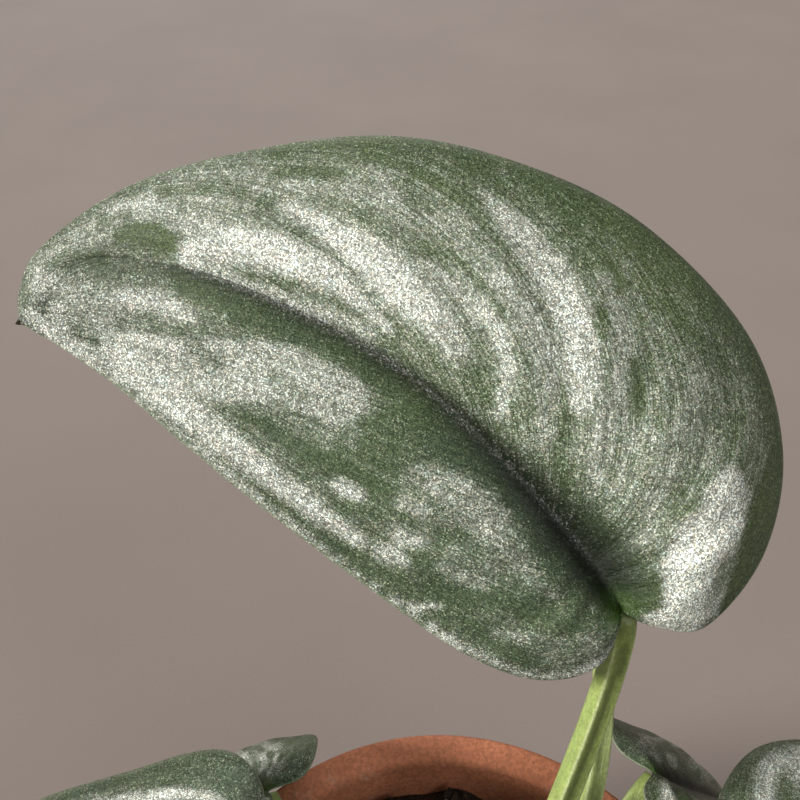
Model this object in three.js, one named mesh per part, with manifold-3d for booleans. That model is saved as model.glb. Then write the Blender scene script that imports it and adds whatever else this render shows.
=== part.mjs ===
// A potted scindapsus: a clay pot filled with soil, short vines with their leaf stalks, lopsided heart-shaped
// leaf blades, and one new leaf that is still rolled. The largest leaf is held up high at the back.
// Millimetres, +Z up, with the origin at the middle of the pot's base.

import * as THREE from "three";
import { mergeVertices } from "three/addons/utils/BufferGeometryUtils.js";
import Module from "manifold-3d";

const wasm = await Module();
wasm.setup();

// The gap that is left between two pieces that touch.
const GAP = 0.3;

// The pot, a plain tapered clay pot with a raised band round its mouth and drain holes round its middle.
const POT = {
  mouthRadius: 55,
  baseRadius: 38,
  height: 96,
  wall: 4.6,
  floor: 6,
  bandHeight: 20,
  bandProud: 3,
  edgeRound: 1.2,
  footRound: 2,
  drainRadius: 5,
  drainCircle: 21,
  drainCount: 3,
  drainSides: 16,
  sides: 48,
};

// The soil, filled to a little below the mouth and heaped towards the middle. Each row of lumps is one wave
// of its surface: the height, the turn per millimetre along X and along Y, and the turn at the middle.
const SOIL = {
  belowMouth: 9,
  heap: 4,
  lumps: [[0.8, 0.31, 0.12, 1.1], [0.6, -0.1, 0.29, 0.4], [0.5, 0.5, -0.45, 2]],
  rings: 5,
};

// The leaf as seen from above, flat, for the largest leaf. x runs from the stalk towards the tip and y to the
// narrow half's side. Each row is a side vein: it leaves the midrib at the point of the same number and ends
// on the edge of the wide or the narrow half.
const LEAF = {
  midrib: [
    [0, 0], [0.8, -0.5], [1.7, -1.1], [2.9, -2], [4.7, -3.2], [7.2, -4.7], [11, -6.6],
    [17, -9.3], [26.5, -13], [40.5, -17.5], [58.5, -19.8], [82.5, -18.5], [101, -11.5], [105.5, 1],
  ],
  wideEdge: [
    [0, 0], [-5.5, 0], [-13.5, -3.5], [-17.5, -17.5], [-13.5, -33], [-0.5, -47], [22, -55.5],
    [43.5, -56], [64, -51.5], [83.5, -40.5], [100, -27], [109.5, -11.5], [109, -3], [105.5, 1],
  ],
  narrowEdge: [
    [0, 0], [-1, 4], [-1, 8.5], [2.5, 13], [9, 16], [19.5, 16.5], [33, 14.5],
    [47, 12], [60, 9.5], [73.5, 6.5], [86, 3.5], [96.5, 2], [103, 1.5], [105.5, 1],
  ],
  veinBend: 0.14,
  veinBendFrom: [0.12, 0.4],
  thickness: 0.9,
  ribDepth: 1.3,
  crest: { wide: 5.5, narrow: 3.4 },
  crestSkew: 0.6,
  roll: { wide: 5, narrow: 2.2 },
  rollFrom: [0, 0.3],
  fullest: 0.8,
  blunt: 0.6,
  waves: 3.2,
  waveStart: { wide: 0.6, narrow: 2.4 },
  quilt: 0.35,
  quiltFrom: [0.1, 0.3],
  quiltTo: [0.85, 1],
  edgeCrowding: 1.35,
  grid: [14, 4],
  fineGrid: [26, 6],
};

// Each leaf: its size against the largest one, which side its narrow half is on (1 is left), where the stalk
// meets the blade, the heading of its tip, anticlockwise from +X, its pitch and roll, the curve of its back
// in 1/mm, how far it is folded and waved, and how broad its two halves are against the largest leaf's. The
// stalk leaves the vine at a share of the vine's length in the direction leave and comes to the blade from
// arriveFrom, bending over the last reach.
const LEAVES = [
  { name: "leaf_large", vine: "vine_middle", at: 0.88, size: 1, hand: 1, base: [24, 29.6, 180.6],
    heading: 162.8, pitch: 19.4, roll: 47.1, back: 0.0018, fold: 1, wave: 0, wide: 1, narrow: 1,
    leave: [0.2, 0.25, 1], arriveFrom: [0.26, 0.2, -1], reach: 18, grid: LEAF.fineGrid },
  { name: "leaf_back", vine: "vine_middle", at: 0.76, size: 0.66, hand: -1, base: [25, 56, 171],
    heading: 82, pitch: -16, roll: 6, back: 0.004, fold: 0.6, wave: 1.2, wide: 0.95, narrow: 1.3,
    leave: [0.9, 0.35, 0.9], arriveFrom: [0.1, -0.8, -0.6], reach: 24 },
  { name: "leaf_left", vine: "vine_middle", at: 0.62, size: 0.8, hand: -1, base: [-36, 16, 134],
    heading: 176, pitch: -17, roll: 4, back: 0.005, fold: 0.55, wave: 1.4, wide: 0.95, narrow: 1.3,
    leave: [-0.8, 0.1, 0.7], arriveFrom: [0.8, 0, -0.6], reach: 18 },
  { name: "leaf_front", vine: "vine_middle", at: 0.5, size: 0.74, hand: 1, base: [1, -32, 149],
    heading: 262, pitch: -12, roll: -4, back: 0.006, fold: 0.7, wave: 1.3, wide: 1, narrow: 1.2,
    leave: [-0.1, -0.5, 0.9], arriveFrom: [0, 0.6, -0.8], reach: 18 },
  { name: "leaf_back_right", vine: "vine_middle", at: 0.38, size: 0.72, hand: 1, base: [42, 36, 119],
    heading: 40, pitch: -40, roll: 0, back: 0.009, fold: 0.6, wave: 1.2, wide: 0.95, narrow: 1.3,
    leave: [0.7, 0.5, 0.6], arriveFrom: [-0.7, -0.6, -0.3], reach: 14 },
  { name: "leaf_back_left", vine: "vine_left", at: 0.3, size: 0.76, hand: -1, base: [-36, 33, 118],
    heading: 128, pitch: -36, roll: 0, back: 0.012, fold: 0.6, wave: 1.4, wide: 0.95, narrow: 1.25,
    leave: [0, 0.7, 0.8], arriveFrom: [0.5, -0.7, -0.4], reach: 14 },
  { name: "leaf_front_left", vine: "vine_left", at: 0.42, size: 0.92, hand: 1, base: [-38, -34, 137],
    heading: 228, pitch: -20, roll: 0, back: 0.005, fold: 0.65, wave: 1.5, wide: 1, narrow: 1.15,
    leave: [-0.3, -0.2, 1], arriveFrom: [0.6, 0.5, -0.6], reach: 18 },
  { name: "leaf_low_left", vine: "vine_left", at: 0.72, size: 0.68, hand: 1, base: [-76, -20, 96],
    heading: 188, pitch: -52, roll: 0, back: 0.006, fold: 0.55, wave: 1.2, wide: 0.9, narrow: 1.3,
    leave: [-0.6, 0.6, 0.4], arriveFrom: [0.6, -0.4, -0.2], reach: 10 },
  { name: "leaf_tip_left", vine: "vine_left", at: 0.96, size: 0.46, hand: -1, base: [-80, -66, 76],
    heading: 228, pitch: -58, roll: 0, back: 0.008, fold: 0.7, wave: 0.8, wide: 0.95, narrow: 1.2,
    leave: [-0.6, -0.4, 0.3], arriveFrom: [0.6, 0.66, -0.35], reach: 8 },
  { name: "leaf_right", vine: "vine_right", at: 0.3, size: 0.86, hand: -1, base: [58, -2, 130],
    heading: -4, pitch: -20, roll: 0, back: 0.005, fold: 0.6, wave: 1.5, wide: 0.95, narrow: 1.25,
    leave: [0.6, 0.3, 0.9], arriveFrom: [-0.8, -0.1, -0.6], reach: 18 },
  { name: "leaf_front_right", vine: "vine_right", at: 0.56, size: 0.94, hand: -1, base: [36, -48, 134],
    heading: 296, pitch: -24, roll: 0, back: 0.0045, fold: 0.7, wave: 1.5, wide: 1, narrow: 1.15,
    leave: [0, -0.2, 1], arriveFrom: [-0.2, 0.6, -0.8], reach: 18 },
  { name: "leaf_low_right", vine: "vine_right", at: 0.9, size: 0.66, hand: 1, base: [76, -50, 100],
    heading: 338, pitch: -46, roll: 0, back: 0.006, fold: 0.6, wave: 1.2, wide: 0.9, narrow: 1.3,
    leave: [0.7, 0, 0.6], arriveFrom: [-0.7, 0.2, -0.4], reach: 10 },
];

// The vines, from inside the soil to the growing tip.
const VINES = {
  vine_middle: [[4, 0, 68], [4, 2, 90], [7, 3, 103], [8, 6, 114], [12, 8, 126]],
  vine_left: [
    [-16, -10, 68], [-17, -12, 90], [-25, -20, 104],
    [-42, -33, 109], [-58, -45, 103], [-70, -56, 86],
  ],
  vine_right: [[18, -12, 68], [19, -14, 90], [26, -24, 104], [40, -38, 108], [56, -48, 102]],
};
const VINE = { radius: 2.6, tipRadius: 1.8, nodeSwell: 0.6, nodeLength: 3, sides: 9, steps: 24 };
const STALK = {
  radius: 2.25,
  sheathRadius: 2.9,
  sheathShare: 0.3,
  smallest: 0.55,
  leaveShare: 0.4,
  sinkIn: 0.6,
  trim: 12,
  sides: 8,
  steps: 14,
};

// Short air roots under the nodes: the vine, the share of its length, where the root points and its length.
const ROOTS = [
  ["vine_middle", 0.5, [0.8, 0.2, -0.7], 13],
  ["vine_left", 0.42, [-0.1, 0.5, -1], 12],
  ["vine_left", 0.72, [0.1, 0.3, -1], 9],
  ["vine_right", 0.56, [-0.1, 0.4, -1], 12],
];
const ROOT = { radius: 0.9, tipRadius: 0.45, sides: 6, steps: 6, droop: 0.35 };

// The rolled new leaf, which stands on the tip of the middle vine and is fattest a little above its foot.
const NEW_LEAF = {
  length: 50,
  radius: 2.9,
  tipRadius: 0.35,
  footShare: 0.13,
  blunt: 0.8,
  lean: [0.12, -0.3, 1],
  bow: [2, -3, 0],
  sides: 9,
  steps: 14,
};

const COLOURS = {
  clay: 0xb5694a,
  soil: 0x3a2c22,
  vine: 0x6f7f3c,
  blade: 0x6f8a66,
  newLeaf: 0x9db06a,
};

const degrees = THREE.MathUtils.degToRad;
const smooth = (value, [from, to]) => THREE.MathUtils.smoothstep(value, from, to);
const vector = (p) => new THREE.Vector3(...p);

// A closed geometry as a manifold solid.
function solid(geometry) {
  const bare = new THREE.BufferGeometry();
  bare.setAttribute("position", geometry.getAttribute("position"));
  bare.setIndex(geometry.index);
  const merged = mergeVertices(bare, 1e-4);
  const corners = [];
  const index = merged.index.array;
  for (let i = 0; i < index.length; i += 3) {
    const [a, b, c] = [index[i], index[i + 1], index[i + 2]];
    if (a !== b && b !== c && c !== a) corners.push(a, b, c);
  }
  return new wasm.Manifold(
    new wasm.Mesh({
      numProp: 3,
      vertProperties: merged.attributes.position.array,
      triVerts: new Uint32Array(corners),
    }),
  );
}

// A manifold solid as a geometry.
function geometryOf(made) {
  const mesh = made.getMesh();
  const geometry = new THREE.BufferGeometry();
  geometry.setAttribute("position", new THREE.BufferAttribute(mesh.vertProperties, 3));
  geometry.setIndex(new THREE.BufferAttribute(mesh.triVerts, 1));
  geometry.computeVertexNormals();
  return geometry;
}

// The largest of a solid's separate bodies, without the loose scraps that a cut leaves.
function largestBody(made) {
  return made.decompose().reduce((a, b) => (b.volume() > a.volume() ? b : a));
}

function piece(name, geometry, colour, roughness) {
  const material = new THREE.MeshStandardMaterial({ color: colour, roughness, metalness: 0 });
  const mesh = new THREE.Mesh(geometry, material);
  mesh.name = name;
  return mesh;
}

// A round limb along a curve with closed ends, whose radius is given along it. spare fattens it all round.
function limb(curve, radiusAt, sides, steps, spare = 0) {
  const geometry = new THREE.CylinderGeometry(1, 1, 1, sides, steps);
  const frames = curve.computeFrenetFrames(steps, false);
  const position = geometry.getAttribute("position");
  for (let i = 0; i < position.count; i++) {
    const step = Math.round((0.5 - position.getY(i)) * steps);
    const share = step / steps;
    const radius = radiusAt(share) + spare;
    const past = step === 0 ? -spare : step === steps ? spare : 0;
    const at = curve
      .getPointAt(share)
      .addScaledVector(frames.tangents[step], past)
      .addScaledVector(frames.normals[step], position.getX(i) * radius)
      .addScaledVector(frames.binormals[step], position.getZ(i) * radius);
    position.setXYZ(i, at.x, at.y, at.z);
  }
  return solid(geometry);
}

const flatSpline = (points) => new THREE.SplineCurve(points.map(([x, y]) => new THREE.Vector2(x, y)));
const MIDRIB = flatSpline(LEAF.midrib);
const EDGES = { wide: flatSpline(LEAF.wideEdge), narrow: flatSpline(LEAF.narrowEdge) };

// How full the blade stands at a row: nothing at the stalk and at the tip.
const fullnessAt = (row) => (row > 0 && row < 1 ? Math.sin(Math.PI * row ** LEAF.fullest) ** LEAF.blunt : 0);

// A point of the blade seen flat, at a row (0 stalk, 1 tip) and a share of the way from the midrib to the
// edge of one half. The side veins are bent back towards the stalk, all but the first few.
function flatPoint(leaf, row, across, half) {
  const a = MIDRIB.getPoint(row);
  const b = EDGES[half].getPoint(row);
  const bend = new THREE.Vector2(-LEAF.veinBend * smooth(row, LEAF.veinBendFrom) * a.distanceTo(b), 0);
  const c = a.clone().add(b).multiplyScalar(0.5).add(bend);
  const breadth = half === "wide" ? leaf.wide : leaf.narrow;
  return new THREE.QuadraticBezierCurve(a, c, b).getPoint(across).sub(a).multiplyScalar(breadth).add(a);
}

// A point of the blade's upper face in the leaf's own frame. The blade stands up from the midrib on both
// sides and rolls down again at its edges, its back is curved along its length, and its edges may wave.
function bladePoint(leaf, row, across, half) {
  const flat = flatPoint(leaf, row, across, half);
  const fullness = fullnessAt(row);
  const arch = Math.sin(Math.PI * across * (1 + LEAF.crestSkew * (1 - across)));
  const roll = LEAF.roll[half] * smooth(row, LEAF.rollFrom) * across ** 3;
  const fold = leaf.fold * (LEAF.crest[half] * arch - roll);
  const wave = leaf.wave * Math.sin(2 * Math.PI * LEAF.waves * row + LEAF.waveStart[half]) * across ** 2;
  const ridges = Math.cos(2 * Math.PI * (LEAF.midrib.length - 1) * row) * Math.sin(Math.PI * across);
  const quilt = LEAF.quilt * ridges * smooth(row, LEAF.quiltFrom) * (1 - smooth(row, LEAF.quiltTo));
  const height = fullness * (fold + wave) - quilt;
  const radius = 1 / (leaf.back * leaf.size);
  const angle = flat.x / radius;
  return new THREE.Vector3(
    (radius + height) * Math.sin(angle),
    leaf.hand * flat.y,
    (radius + height) * Math.cos(angle) - radius,
  ).multiplyScalar(leaf.size);
}

// Turns the leaf's own frame into the plant's: x to the tip, z out of the upper face.
function leafFrame(leaf) {
  const [heading, pitch] = [degrees(leaf.heading), degrees(leaf.pitch)];
  const x = new THREE.Vector3(
    Math.cos(heading) * Math.cos(pitch),
    Math.sin(heading) * Math.cos(pitch),
    Math.sin(pitch),
  );
  const z = new THREE.Vector3(0, 0, 1).addScaledVector(x, -x.z).normalize();
  z.applyAxisAngle(x, -degrees(leaf.roll));
  const y = z.clone().cross(x);
  return new THREE.Matrix4().makeBasis(x, y, z).setPosition(vector(leaf.base));
}

// The blade as a closed skin of one thickness, with a rib along its underside.
function bladeGeometry(leaf) {
  const [rows, columns] = leaf.grid ?? LEAF.grid;
  const frame = leafFrame(leaf);
  const across = 2 * columns + 1;
  const corners = [];
  for (const under of [0, 1]) {
    for (let i = 0; i <= rows; i++) {
      for (let j = -columns; j <= columns; j++) {
        const share = Math.abs(j / columns) ** LEAF.edgeCrowding;
        const point = bladePoint(leaf, i / rows, share, j < 0 ? "wide" : "narrow");
        const rib = j === 0 && i > 0 ? LEAF.ribDepth * leaf.size * (1 - i / rows) : 0;
        if (under) point.z -= LEAF.thickness + rib;
        corners.push(...point.applyMatrix4(frame));
      }
    }
  }
  const id = (i, j, under) => (under * (rows + 1) + i) * across + j + columns;
  const faces = [];
  const face = (turned, ...ids) => faces.push(...(turned ? ids.reverse() : ids));
  for (let i = 0; i < rows; i++) {
    for (let j = -columns; j < columns; j++) {
      for (const under of [0, 1]) {
        const turned = (under === 1) !== (leaf.hand < 0);
        const quad = [id(i, j, under), id(i + 1, j, under), id(i + 1, j + 1, under), id(i, j + 1, under)];
        const rising = j >= 0;
        face(turned, quad[0], quad[1], rising ? quad[3] : quad[2]);
        face(turned, rising ? quad[1] : quad[0], quad[2], quad[3]);
      }
    }
    for (const j of [-columns, columns]) {
      const turned = (j > 0) !== (leaf.hand < 0);
      face(turned, id(i, j, 0), id(i, j, 1), id(i + 1, j, 1));
      face(turned, id(i, j, 0), id(i + 1, j, 1), id(i + 1, j, 0));
    }
  }
  const geometry = new THREE.BufferGeometry();
  geometry.setAttribute("position", new THREE.Float32BufferAttribute(corners, 3));
  geometry.setIndex(faces);
  return geometry;
}

const vineCurve = (name) => new THREE.CatmullRomCurve3(VINES[name].map(vector), false, "centripetal");

// The vine's own radius: it thins towards its tip and swells at each node.
function vineRadius(name, share) {
  const nodes = LEAVES.filter((leaf) => leaf.vine === name).map((leaf) => leaf.at);
  const length = vineCurve(name).getLength();
  const away = Math.min(...nodes.map((at) => Math.abs(share - at) * length));
  const swell = Math.exp(-((away / VINE.nodeLength) ** 2));
  return THREE.MathUtils.lerp(VINE.radius, VINE.tipRadius, share) + VINE.nodeSwell * swell;
}

// The stalk of a leaf: it leaves the vine as a sheath and runs into the underside of the blade.
function stalkCurve(leaf) {
  const start = vineCurve(leaf.vine).getPointAt(leaf.at);
  const frame = leafFrame(leaf);
  const down = new THREE.Vector3().setFromMatrixColumn(frame, 2).negate();
  const end = vector(leaf.base).addScaledVector(down, STALK.sinkIn);
  const length = start.distanceTo(end);
  const leaving = vector(leaf.leave).normalize();
  const arriving = vector(leaf.arriveFrom).normalize();
  return new THREE.CubicBezierCurve3(
    start,
    start.clone().addScaledVector(leaving, length * STALK.leaveShare),
    end.clone().addScaledVector(arriving, leaf.reach),
    end,
  );
}

function stalk(leaf, spare = 0) {
  const slim = THREE.MathUtils.lerp(STALK.smallest, 1, leaf.size);
  const radiusAt = (share) =>
    slim * THREE.MathUtils.lerp(STALK.sheathRadius, STALK.radius, smooth(share, [0, STALK.sheathShare]));
  return limb(stalkCurve(leaf), radiusAt, STALK.sides, STALK.steps, spare);
}

// An air root: it arches out of the vine and droops towards its tip.
function root([name, at, towards, length], spare = 0) {
  const start = vineCurve(name).getPointAt(at);
  const straight = vector(towards).normalize().multiplyScalar(length);
  const end = start.clone().add(straight);
  const middle = start.clone().addScaledVector(straight, 0.5);
  middle.z += length * ROOT.droop;
  const curve = new THREE.QuadraticBezierCurve3(start, middle, end);
  const radiusAt = (share) => THREE.MathUtils.lerp(ROOT.radius, ROOT.tipRadius, share);
  return limb(curve, radiusAt, ROOT.sides, ROOT.steps, spare);
}

function vineStem(name, spare = 0) {
  return limb(vineCurve(name), (share) => vineRadius(name, share), VINE.sides, VINE.steps, spare);
}

// A vine with its leaf stalks and air roots in one piece. spare makes it that much fatter.
function wholeVine(name, spare = 0) {
  let made = vineStem(name, spare);
  for (const leaf of LEAVES.filter((leaf) => leaf.vine === name)) made = made.add(stalk(leaf, spare));
  for (const each of ROOTS.filter((each) => each[0] === name)) made = made.add(root(each, spare));
  return made;
}

// The same vine, with each of its stalks cut off level, just under the rib of its blade.
function vine(name) {
  let made = wholeVine(name);
  for (const leaf of LEAVES.filter((leaf) => leaf.vine === name)) {
    const under = LEAF.thickness + LEAF.ribDepth * leaf.size + GAP;
    const block = new THREE.BoxGeometry(STALK.trim, STALK.trim, STALK.trim);
    block.translate(0, 0, STALK.trim / 2 - under).applyMatrix4(leafFrame(leaf));
    made = made.subtract(solid(block));
  }
  return largestBody(made);
}

function newLeaf() {
  const curve = vineCurve("vine_middle");
  const up = curve.getTangentAt(1);
  const start = curve.getPointAt(1).addScaledVector(up, GAP);
  const end = start.clone().addScaledVector(vector(NEW_LEAF.lean).normalize(), NEW_LEAF.length);
  const middle = start.clone().addScaledVector(up, NEW_LEAF.length / 2).add(vector(NEW_LEAF.bow));
  const along = new THREE.QuadraticBezierCurve3(start, middle, end);
  const radiusAt = (share) => {
    const fullness = Math.sin(Math.PI * THREE.MathUtils.lerp(NEW_LEAF.footShare, 1, share));
    return NEW_LEAF.tipRadius + NEW_LEAF.radius * Math.max(0, fullness) ** NEW_LEAF.blunt;
  };
  const made = limb(along, radiusAt, NEW_LEAF.sides, NEW_LEAF.steps);
  return largestBody(made.subtract(wholeVine("vine_middle", GAP)));
}

const lathe = (profile) =>
  new THREE.LatheGeometry(profile.map(([r, z]) => new THREE.Vector2(r, z)), POT.sides).rotateX(Math.PI / 2);

const outerRadius = (z) => THREE.MathUtils.mapLinear(z, 0, POT.height, POT.baseRadius, POT.mouthRadius);
const innerRadius = (z) => outerRadius(z) - POT.wall;

function pot() {
  const bandFoot = POT.height - POT.bandHeight;
  const profile = [
    [0, 0],
    [POT.baseRadius - POT.footRound, 0],
    [outerRadius(POT.footRound), POT.footRound],
    [outerRadius(bandFoot - POT.edgeRound), bandFoot - POT.edgeRound],
    [outerRadius(bandFoot) + POT.bandProud - POT.edgeRound, bandFoot],
    [outerRadius(bandFoot) + POT.bandProud, bandFoot + POT.edgeRound],
    [POT.mouthRadius + POT.bandProud, POT.height - POT.edgeRound],
    [POT.mouthRadius + POT.bandProud - POT.edgeRound, POT.height],
    [innerRadius(POT.height) + POT.edgeRound, POT.height],
    [innerRadius(POT.height - POT.edgeRound), POT.height - POT.edgeRound],
    [innerRadius(POT.floor), POT.floor],
    [0, POT.floor],
  ];
  let made = solid(lathe(profile));
  for (let i = 0; i < POT.drainCount; i++) {
    const drill = new THREE.CylinderGeometry(POT.drainRadius, POT.drainRadius, POT.floor * 3, POT.drainSides);
    const angle = (2 * Math.PI * (i + 0.25)) / POT.drainCount;
    drill.rotateX(Math.PI / 2).translate(POT.drainCircle, 0, 0).rotateZ(angle);
    made = made.subtract(solid(drill));
  }
  return made;
}

// The soil's upper surface over a point.
function soilHeight(x, y) {
  const edge = innerRadius(POT.height - SOIL.belowMouth);
  const heap = SOIL.heap * (1 - (Math.hypot(x, y) / edge) ** 2);
  let lumps = 0;
  for (const [height, alongX, alongY, turn] of SOIL.lumps) {
    lumps += height * Math.sin(alongX * x + alongY * y + turn);
  }
  return POT.height - SOIL.belowMouth + heap + lumps;
}

function soil() {
  const top = POT.height - SOIL.belowMouth;
  const profile = [
    [0, POT.floor + GAP],
    [innerRadius(POT.floor) - GAP, POT.floor + GAP],
  ];
  for (let ring = 0; ring <= SOIL.rings; ring++) {
    profile.push([(innerRadius(top) - GAP) * (1 - ring / SOIL.rings), top]);
  }
  const geometry = lathe(profile);
  const position = geometry.getAttribute("position");
  for (let i = 0; i < position.count; i++) {
    if (position.getZ(i) < top) continue;
    const height = soilHeight(position.getX(i), position.getY(i));
    const taper = (innerRadius(height) - GAP) / (innerRadius(top) - GAP);
    position.setXYZ(i, position.getX(i) * taper, position.getY(i) * taper, height);
  }
  let made = solid(geometry);
  for (const name of Object.keys(VINES)) made = made.subtract(wholeVine(name, GAP));
  return largestBody(made);
}

const plant = new THREE.Group();
plant.add(piece("pot", geometryOf(pot()), COLOURS.clay, 0.9));
plant.add(piece("soil", geometryOf(soil()), COLOURS.soil, 1));
for (const name of Object.keys(VINES)) plant.add(piece(name, geometryOf(vine(name)), COLOURS.vine, 0.55));
for (const leaf of LEAVES) {
  plant.add(piece(leaf.name, geometryOf(solid(bladeGeometry(leaf))), COLOURS.blade, 0.45));
}
plant.add(piece("new_leaf", geometryOf(newLeaf()), COLOURS.newLeaf, 0.45));

export default plant;
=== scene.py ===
"""The looks of a potted scindapsus: silvered leaf blades, channelled stalks on short vines, a rolled new
leaf, a clay pot with a pale bloom, and potting soil with perlite and bark. Every piece stands where the
frame's node of the same part stands. Lengths in the tables are millimetres."""

import math

import bmesh
import bpy
import numpy as np
from bpy.props import FloatProperty, FloatVectorProperty, IntProperty, PointerProperty
from bpy.types import Operator, Panel, PropertyGroup
from mathutils import Matrix, Vector, noise


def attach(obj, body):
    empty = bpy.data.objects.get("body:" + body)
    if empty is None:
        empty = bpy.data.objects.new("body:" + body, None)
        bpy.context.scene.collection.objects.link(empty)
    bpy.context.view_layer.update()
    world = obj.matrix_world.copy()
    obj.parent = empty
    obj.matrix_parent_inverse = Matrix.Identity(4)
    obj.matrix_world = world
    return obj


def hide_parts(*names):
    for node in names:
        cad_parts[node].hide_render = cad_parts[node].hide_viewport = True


bl_info = {
    "name": "Potted scindapsus",
    "version": (1, 0, 0),
    "blender": (4, 5, 0),
    "location": "3D View > Sidebar > Scindapsus",
    "description": "Builds the finished pieces of a potted scindapsus around its fixed frame",
    "category": "Add Mesh",
}

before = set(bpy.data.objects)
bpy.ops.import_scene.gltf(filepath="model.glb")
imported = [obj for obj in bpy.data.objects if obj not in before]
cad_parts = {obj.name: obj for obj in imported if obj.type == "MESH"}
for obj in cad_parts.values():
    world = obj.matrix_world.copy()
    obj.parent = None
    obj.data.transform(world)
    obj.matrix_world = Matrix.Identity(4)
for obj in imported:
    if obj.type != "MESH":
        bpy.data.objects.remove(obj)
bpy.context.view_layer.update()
MM = 0.001
DOUBLES = 0.001 * MM

POT = {
    "mouth_radius": 55, "base_radius": 38, "height": 96, "wall": 4.6, "floor": 6, "band_height": 20,
    "band_proud": 3, "edge_round": 1.4, "foot_round": 2, "drain_radius": 5, "drain_circle": 21,
    "foot_out": 0.3, "drain_count": 3, "drain_turn": 0.25, "drain_sides": 40,
    "sides": 144, "wall_rings": 40, "band_rings": 12, "inside_rings": 24,
}

# How the thrown wall departs from its turned form. Each wave has a height in mm and how fast it runs, up the
# wall or round it. Then comes how far it drifts or where it starts.
WALL_WAVES = {"turning": (0.07, 1.9, 0.6), "fine turning": (0.05, 4.3, 1), "oval": (0.16, 2, 0.8),
              "three-sided": (0.1, 3, 0.02)}

# The soil's surface: how far it is below the mouth, its heap, and waves of a height, a turn per millimetre
# along X and along Y, and a turn at the middle.
SOIL = {
    "below_mouth": 9, "heap": 4, "gap": 0.3,
    "lumps": [(0.8, 0.31, 0.12, 1.1), (0.6, -0.1, 0.29, 0.4), (0.5, 0.5, -0.45, 2)],
    "rings": 62, "sides": 168, "wall_rings": 6,
    "rim_sag": 1.2, "sag_from": 0.93, "rim_calm": 0.7, "calm_from": 0.95, "vine_clear": 4.2,
}

# The soil's crumbly relief: for each kind its height in mm, its waves per millimetre and its layer of noise.
RELIEF = {"crumbs": (0.9, 0.35, 3), "fine crumbs": (0.55, 0.9, 9), "clods": (0.5, 1.7, 20)}

# What lies loose on the soil. Lumps have a radius, and are raised by a share of it. Chips have three sizes,
# lean about X and Y by up to so many radians, and are raised by a share of their thickness.
CRUMBS = {"count": 900, "sizes": (0.5, 1.7), "flatness": 0.8, "faces": 1, "raised": 0.25, "rough": 0.5}
PERLITE = {"count": 130, "sizes": (0.7, 1.9), "flatness": 0.85, "faces": 2, "raised": 0.35, "rough": 0.35}
LUMP = {"long": (0.8, 1.6), "broad": (0.7, 1.1), "flat": (0.7, 1.2), "lean": 0.5, "dents": 1.3}
CHIP = {
    "count": 70, "long": (3, 8.5), "broad": (2, 4.2), "thick": (0.8, 1.9), "ragged": 0.13, "narrowing": 0.35,
    "broken": (0.4, 1), "lean": (0.45, 0.3), "raised": 0.4, "reach": 0.9,
}

# The flat outline of the largest leaf. x runs from the stalk towards the tip, y to the narrow half's side.
# Rows of the same number in the three lists are the two ends of one side vein.
LEAF = {
    "midrib": [
        (0, 0), (0.8, -0.5), (1.7, -1.1), (2.9, -2), (4.7, -3.2), (7.2, -4.7), (11, -6.6),
        (17, -9.3), (26.5, -13), (40.5, -17.5), (58.5, -19.8), (82.5, -18.5), (101, -11.5), (105.5, 1),
    ],
    "wide": [
        (0, 0), (-5.5, 0), (-13.5, -3.5), (-17.5, -17.5), (-13.5, -33), (-0.5, -47), (22, -55.5),
        (43.5, -56), (64, -51.5), (83.5, -40.5), (100, -27), (109.5, -11.5), (109, -3), (105.5, 1),
    ],
    "narrow": [
        (0, 0), (-1, 4), (-1, 8.5), (2.5, 13), (9, 16), (19.5, 16.5), (33, 14.5),
        (47, 12), (60, 9.5), (73.5, 6.5), (86, 3.5), (96.5, 2), (103, 1.5), (105.5, 1),
    ],
    "vein_bend": 0.14, "vein_bend_from": (0.12, 0.4),
    "thickness": 0.9, "edge_thickness": 0.35, "rib_depth": 1.3,
    "crest": {"wide": 5.5, "narrow": 3.4}, "crest_skew": 0.6,
    "roll": {"wide": 5, "narrow": 2.2}, "roll_from": (0, 0.3),
    "fullest": 0.8, "blunt": 0.6,
    "waves": 3.2, "wave_start": {"wide": 0.6, "narrow": 2.4},
    "quilt": 0.35, "quilt_from": {"wide": (0.1, 0.3), "narrow": (0.22, 0.42)}, "quilt_to": (0.85, 1),
    "valley": (0.05, 0.3), "tip_flat": 0.9, "tip_flat_from": (0.58, 0.86),
    "tip_bulge": 0.17, "tip_bulge_from": (0.68, 0.84), "lobe_flat": 0.5, "lobe_flat_to": (0.06, 0.3),
    "vein_lag": {"wide": 0.06, "narrow": 0.27}, "vein_reach": 0.97,
    "relief_starts": (0, 0.06), "relief_ends": (0.95, 1), "gully": (1.7, 0.8), "gully_over": (0.3, 0.7),
    "groove": (0.7, 0.4), "groove_over": (0.35, 0.7), "groove_ends": (0.6, 0.85),
    "crease": 0.16, "crease_from": 0.75, "narrow_crease_from": (0.14, 0.32),
    "rim_roll": 0.14, "rim_from": 0.97, "thins_from": 0.3, "rib_width": 1.1,
    "nib_width": 0.7, "nib_push": (0.2, 0.7),
    "fine_grid": (364, 44), "grid": (156, 26), "crowding": 1.15,
}
SIDE_VEINS = len(LEAF["midrib"]) - 1

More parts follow.
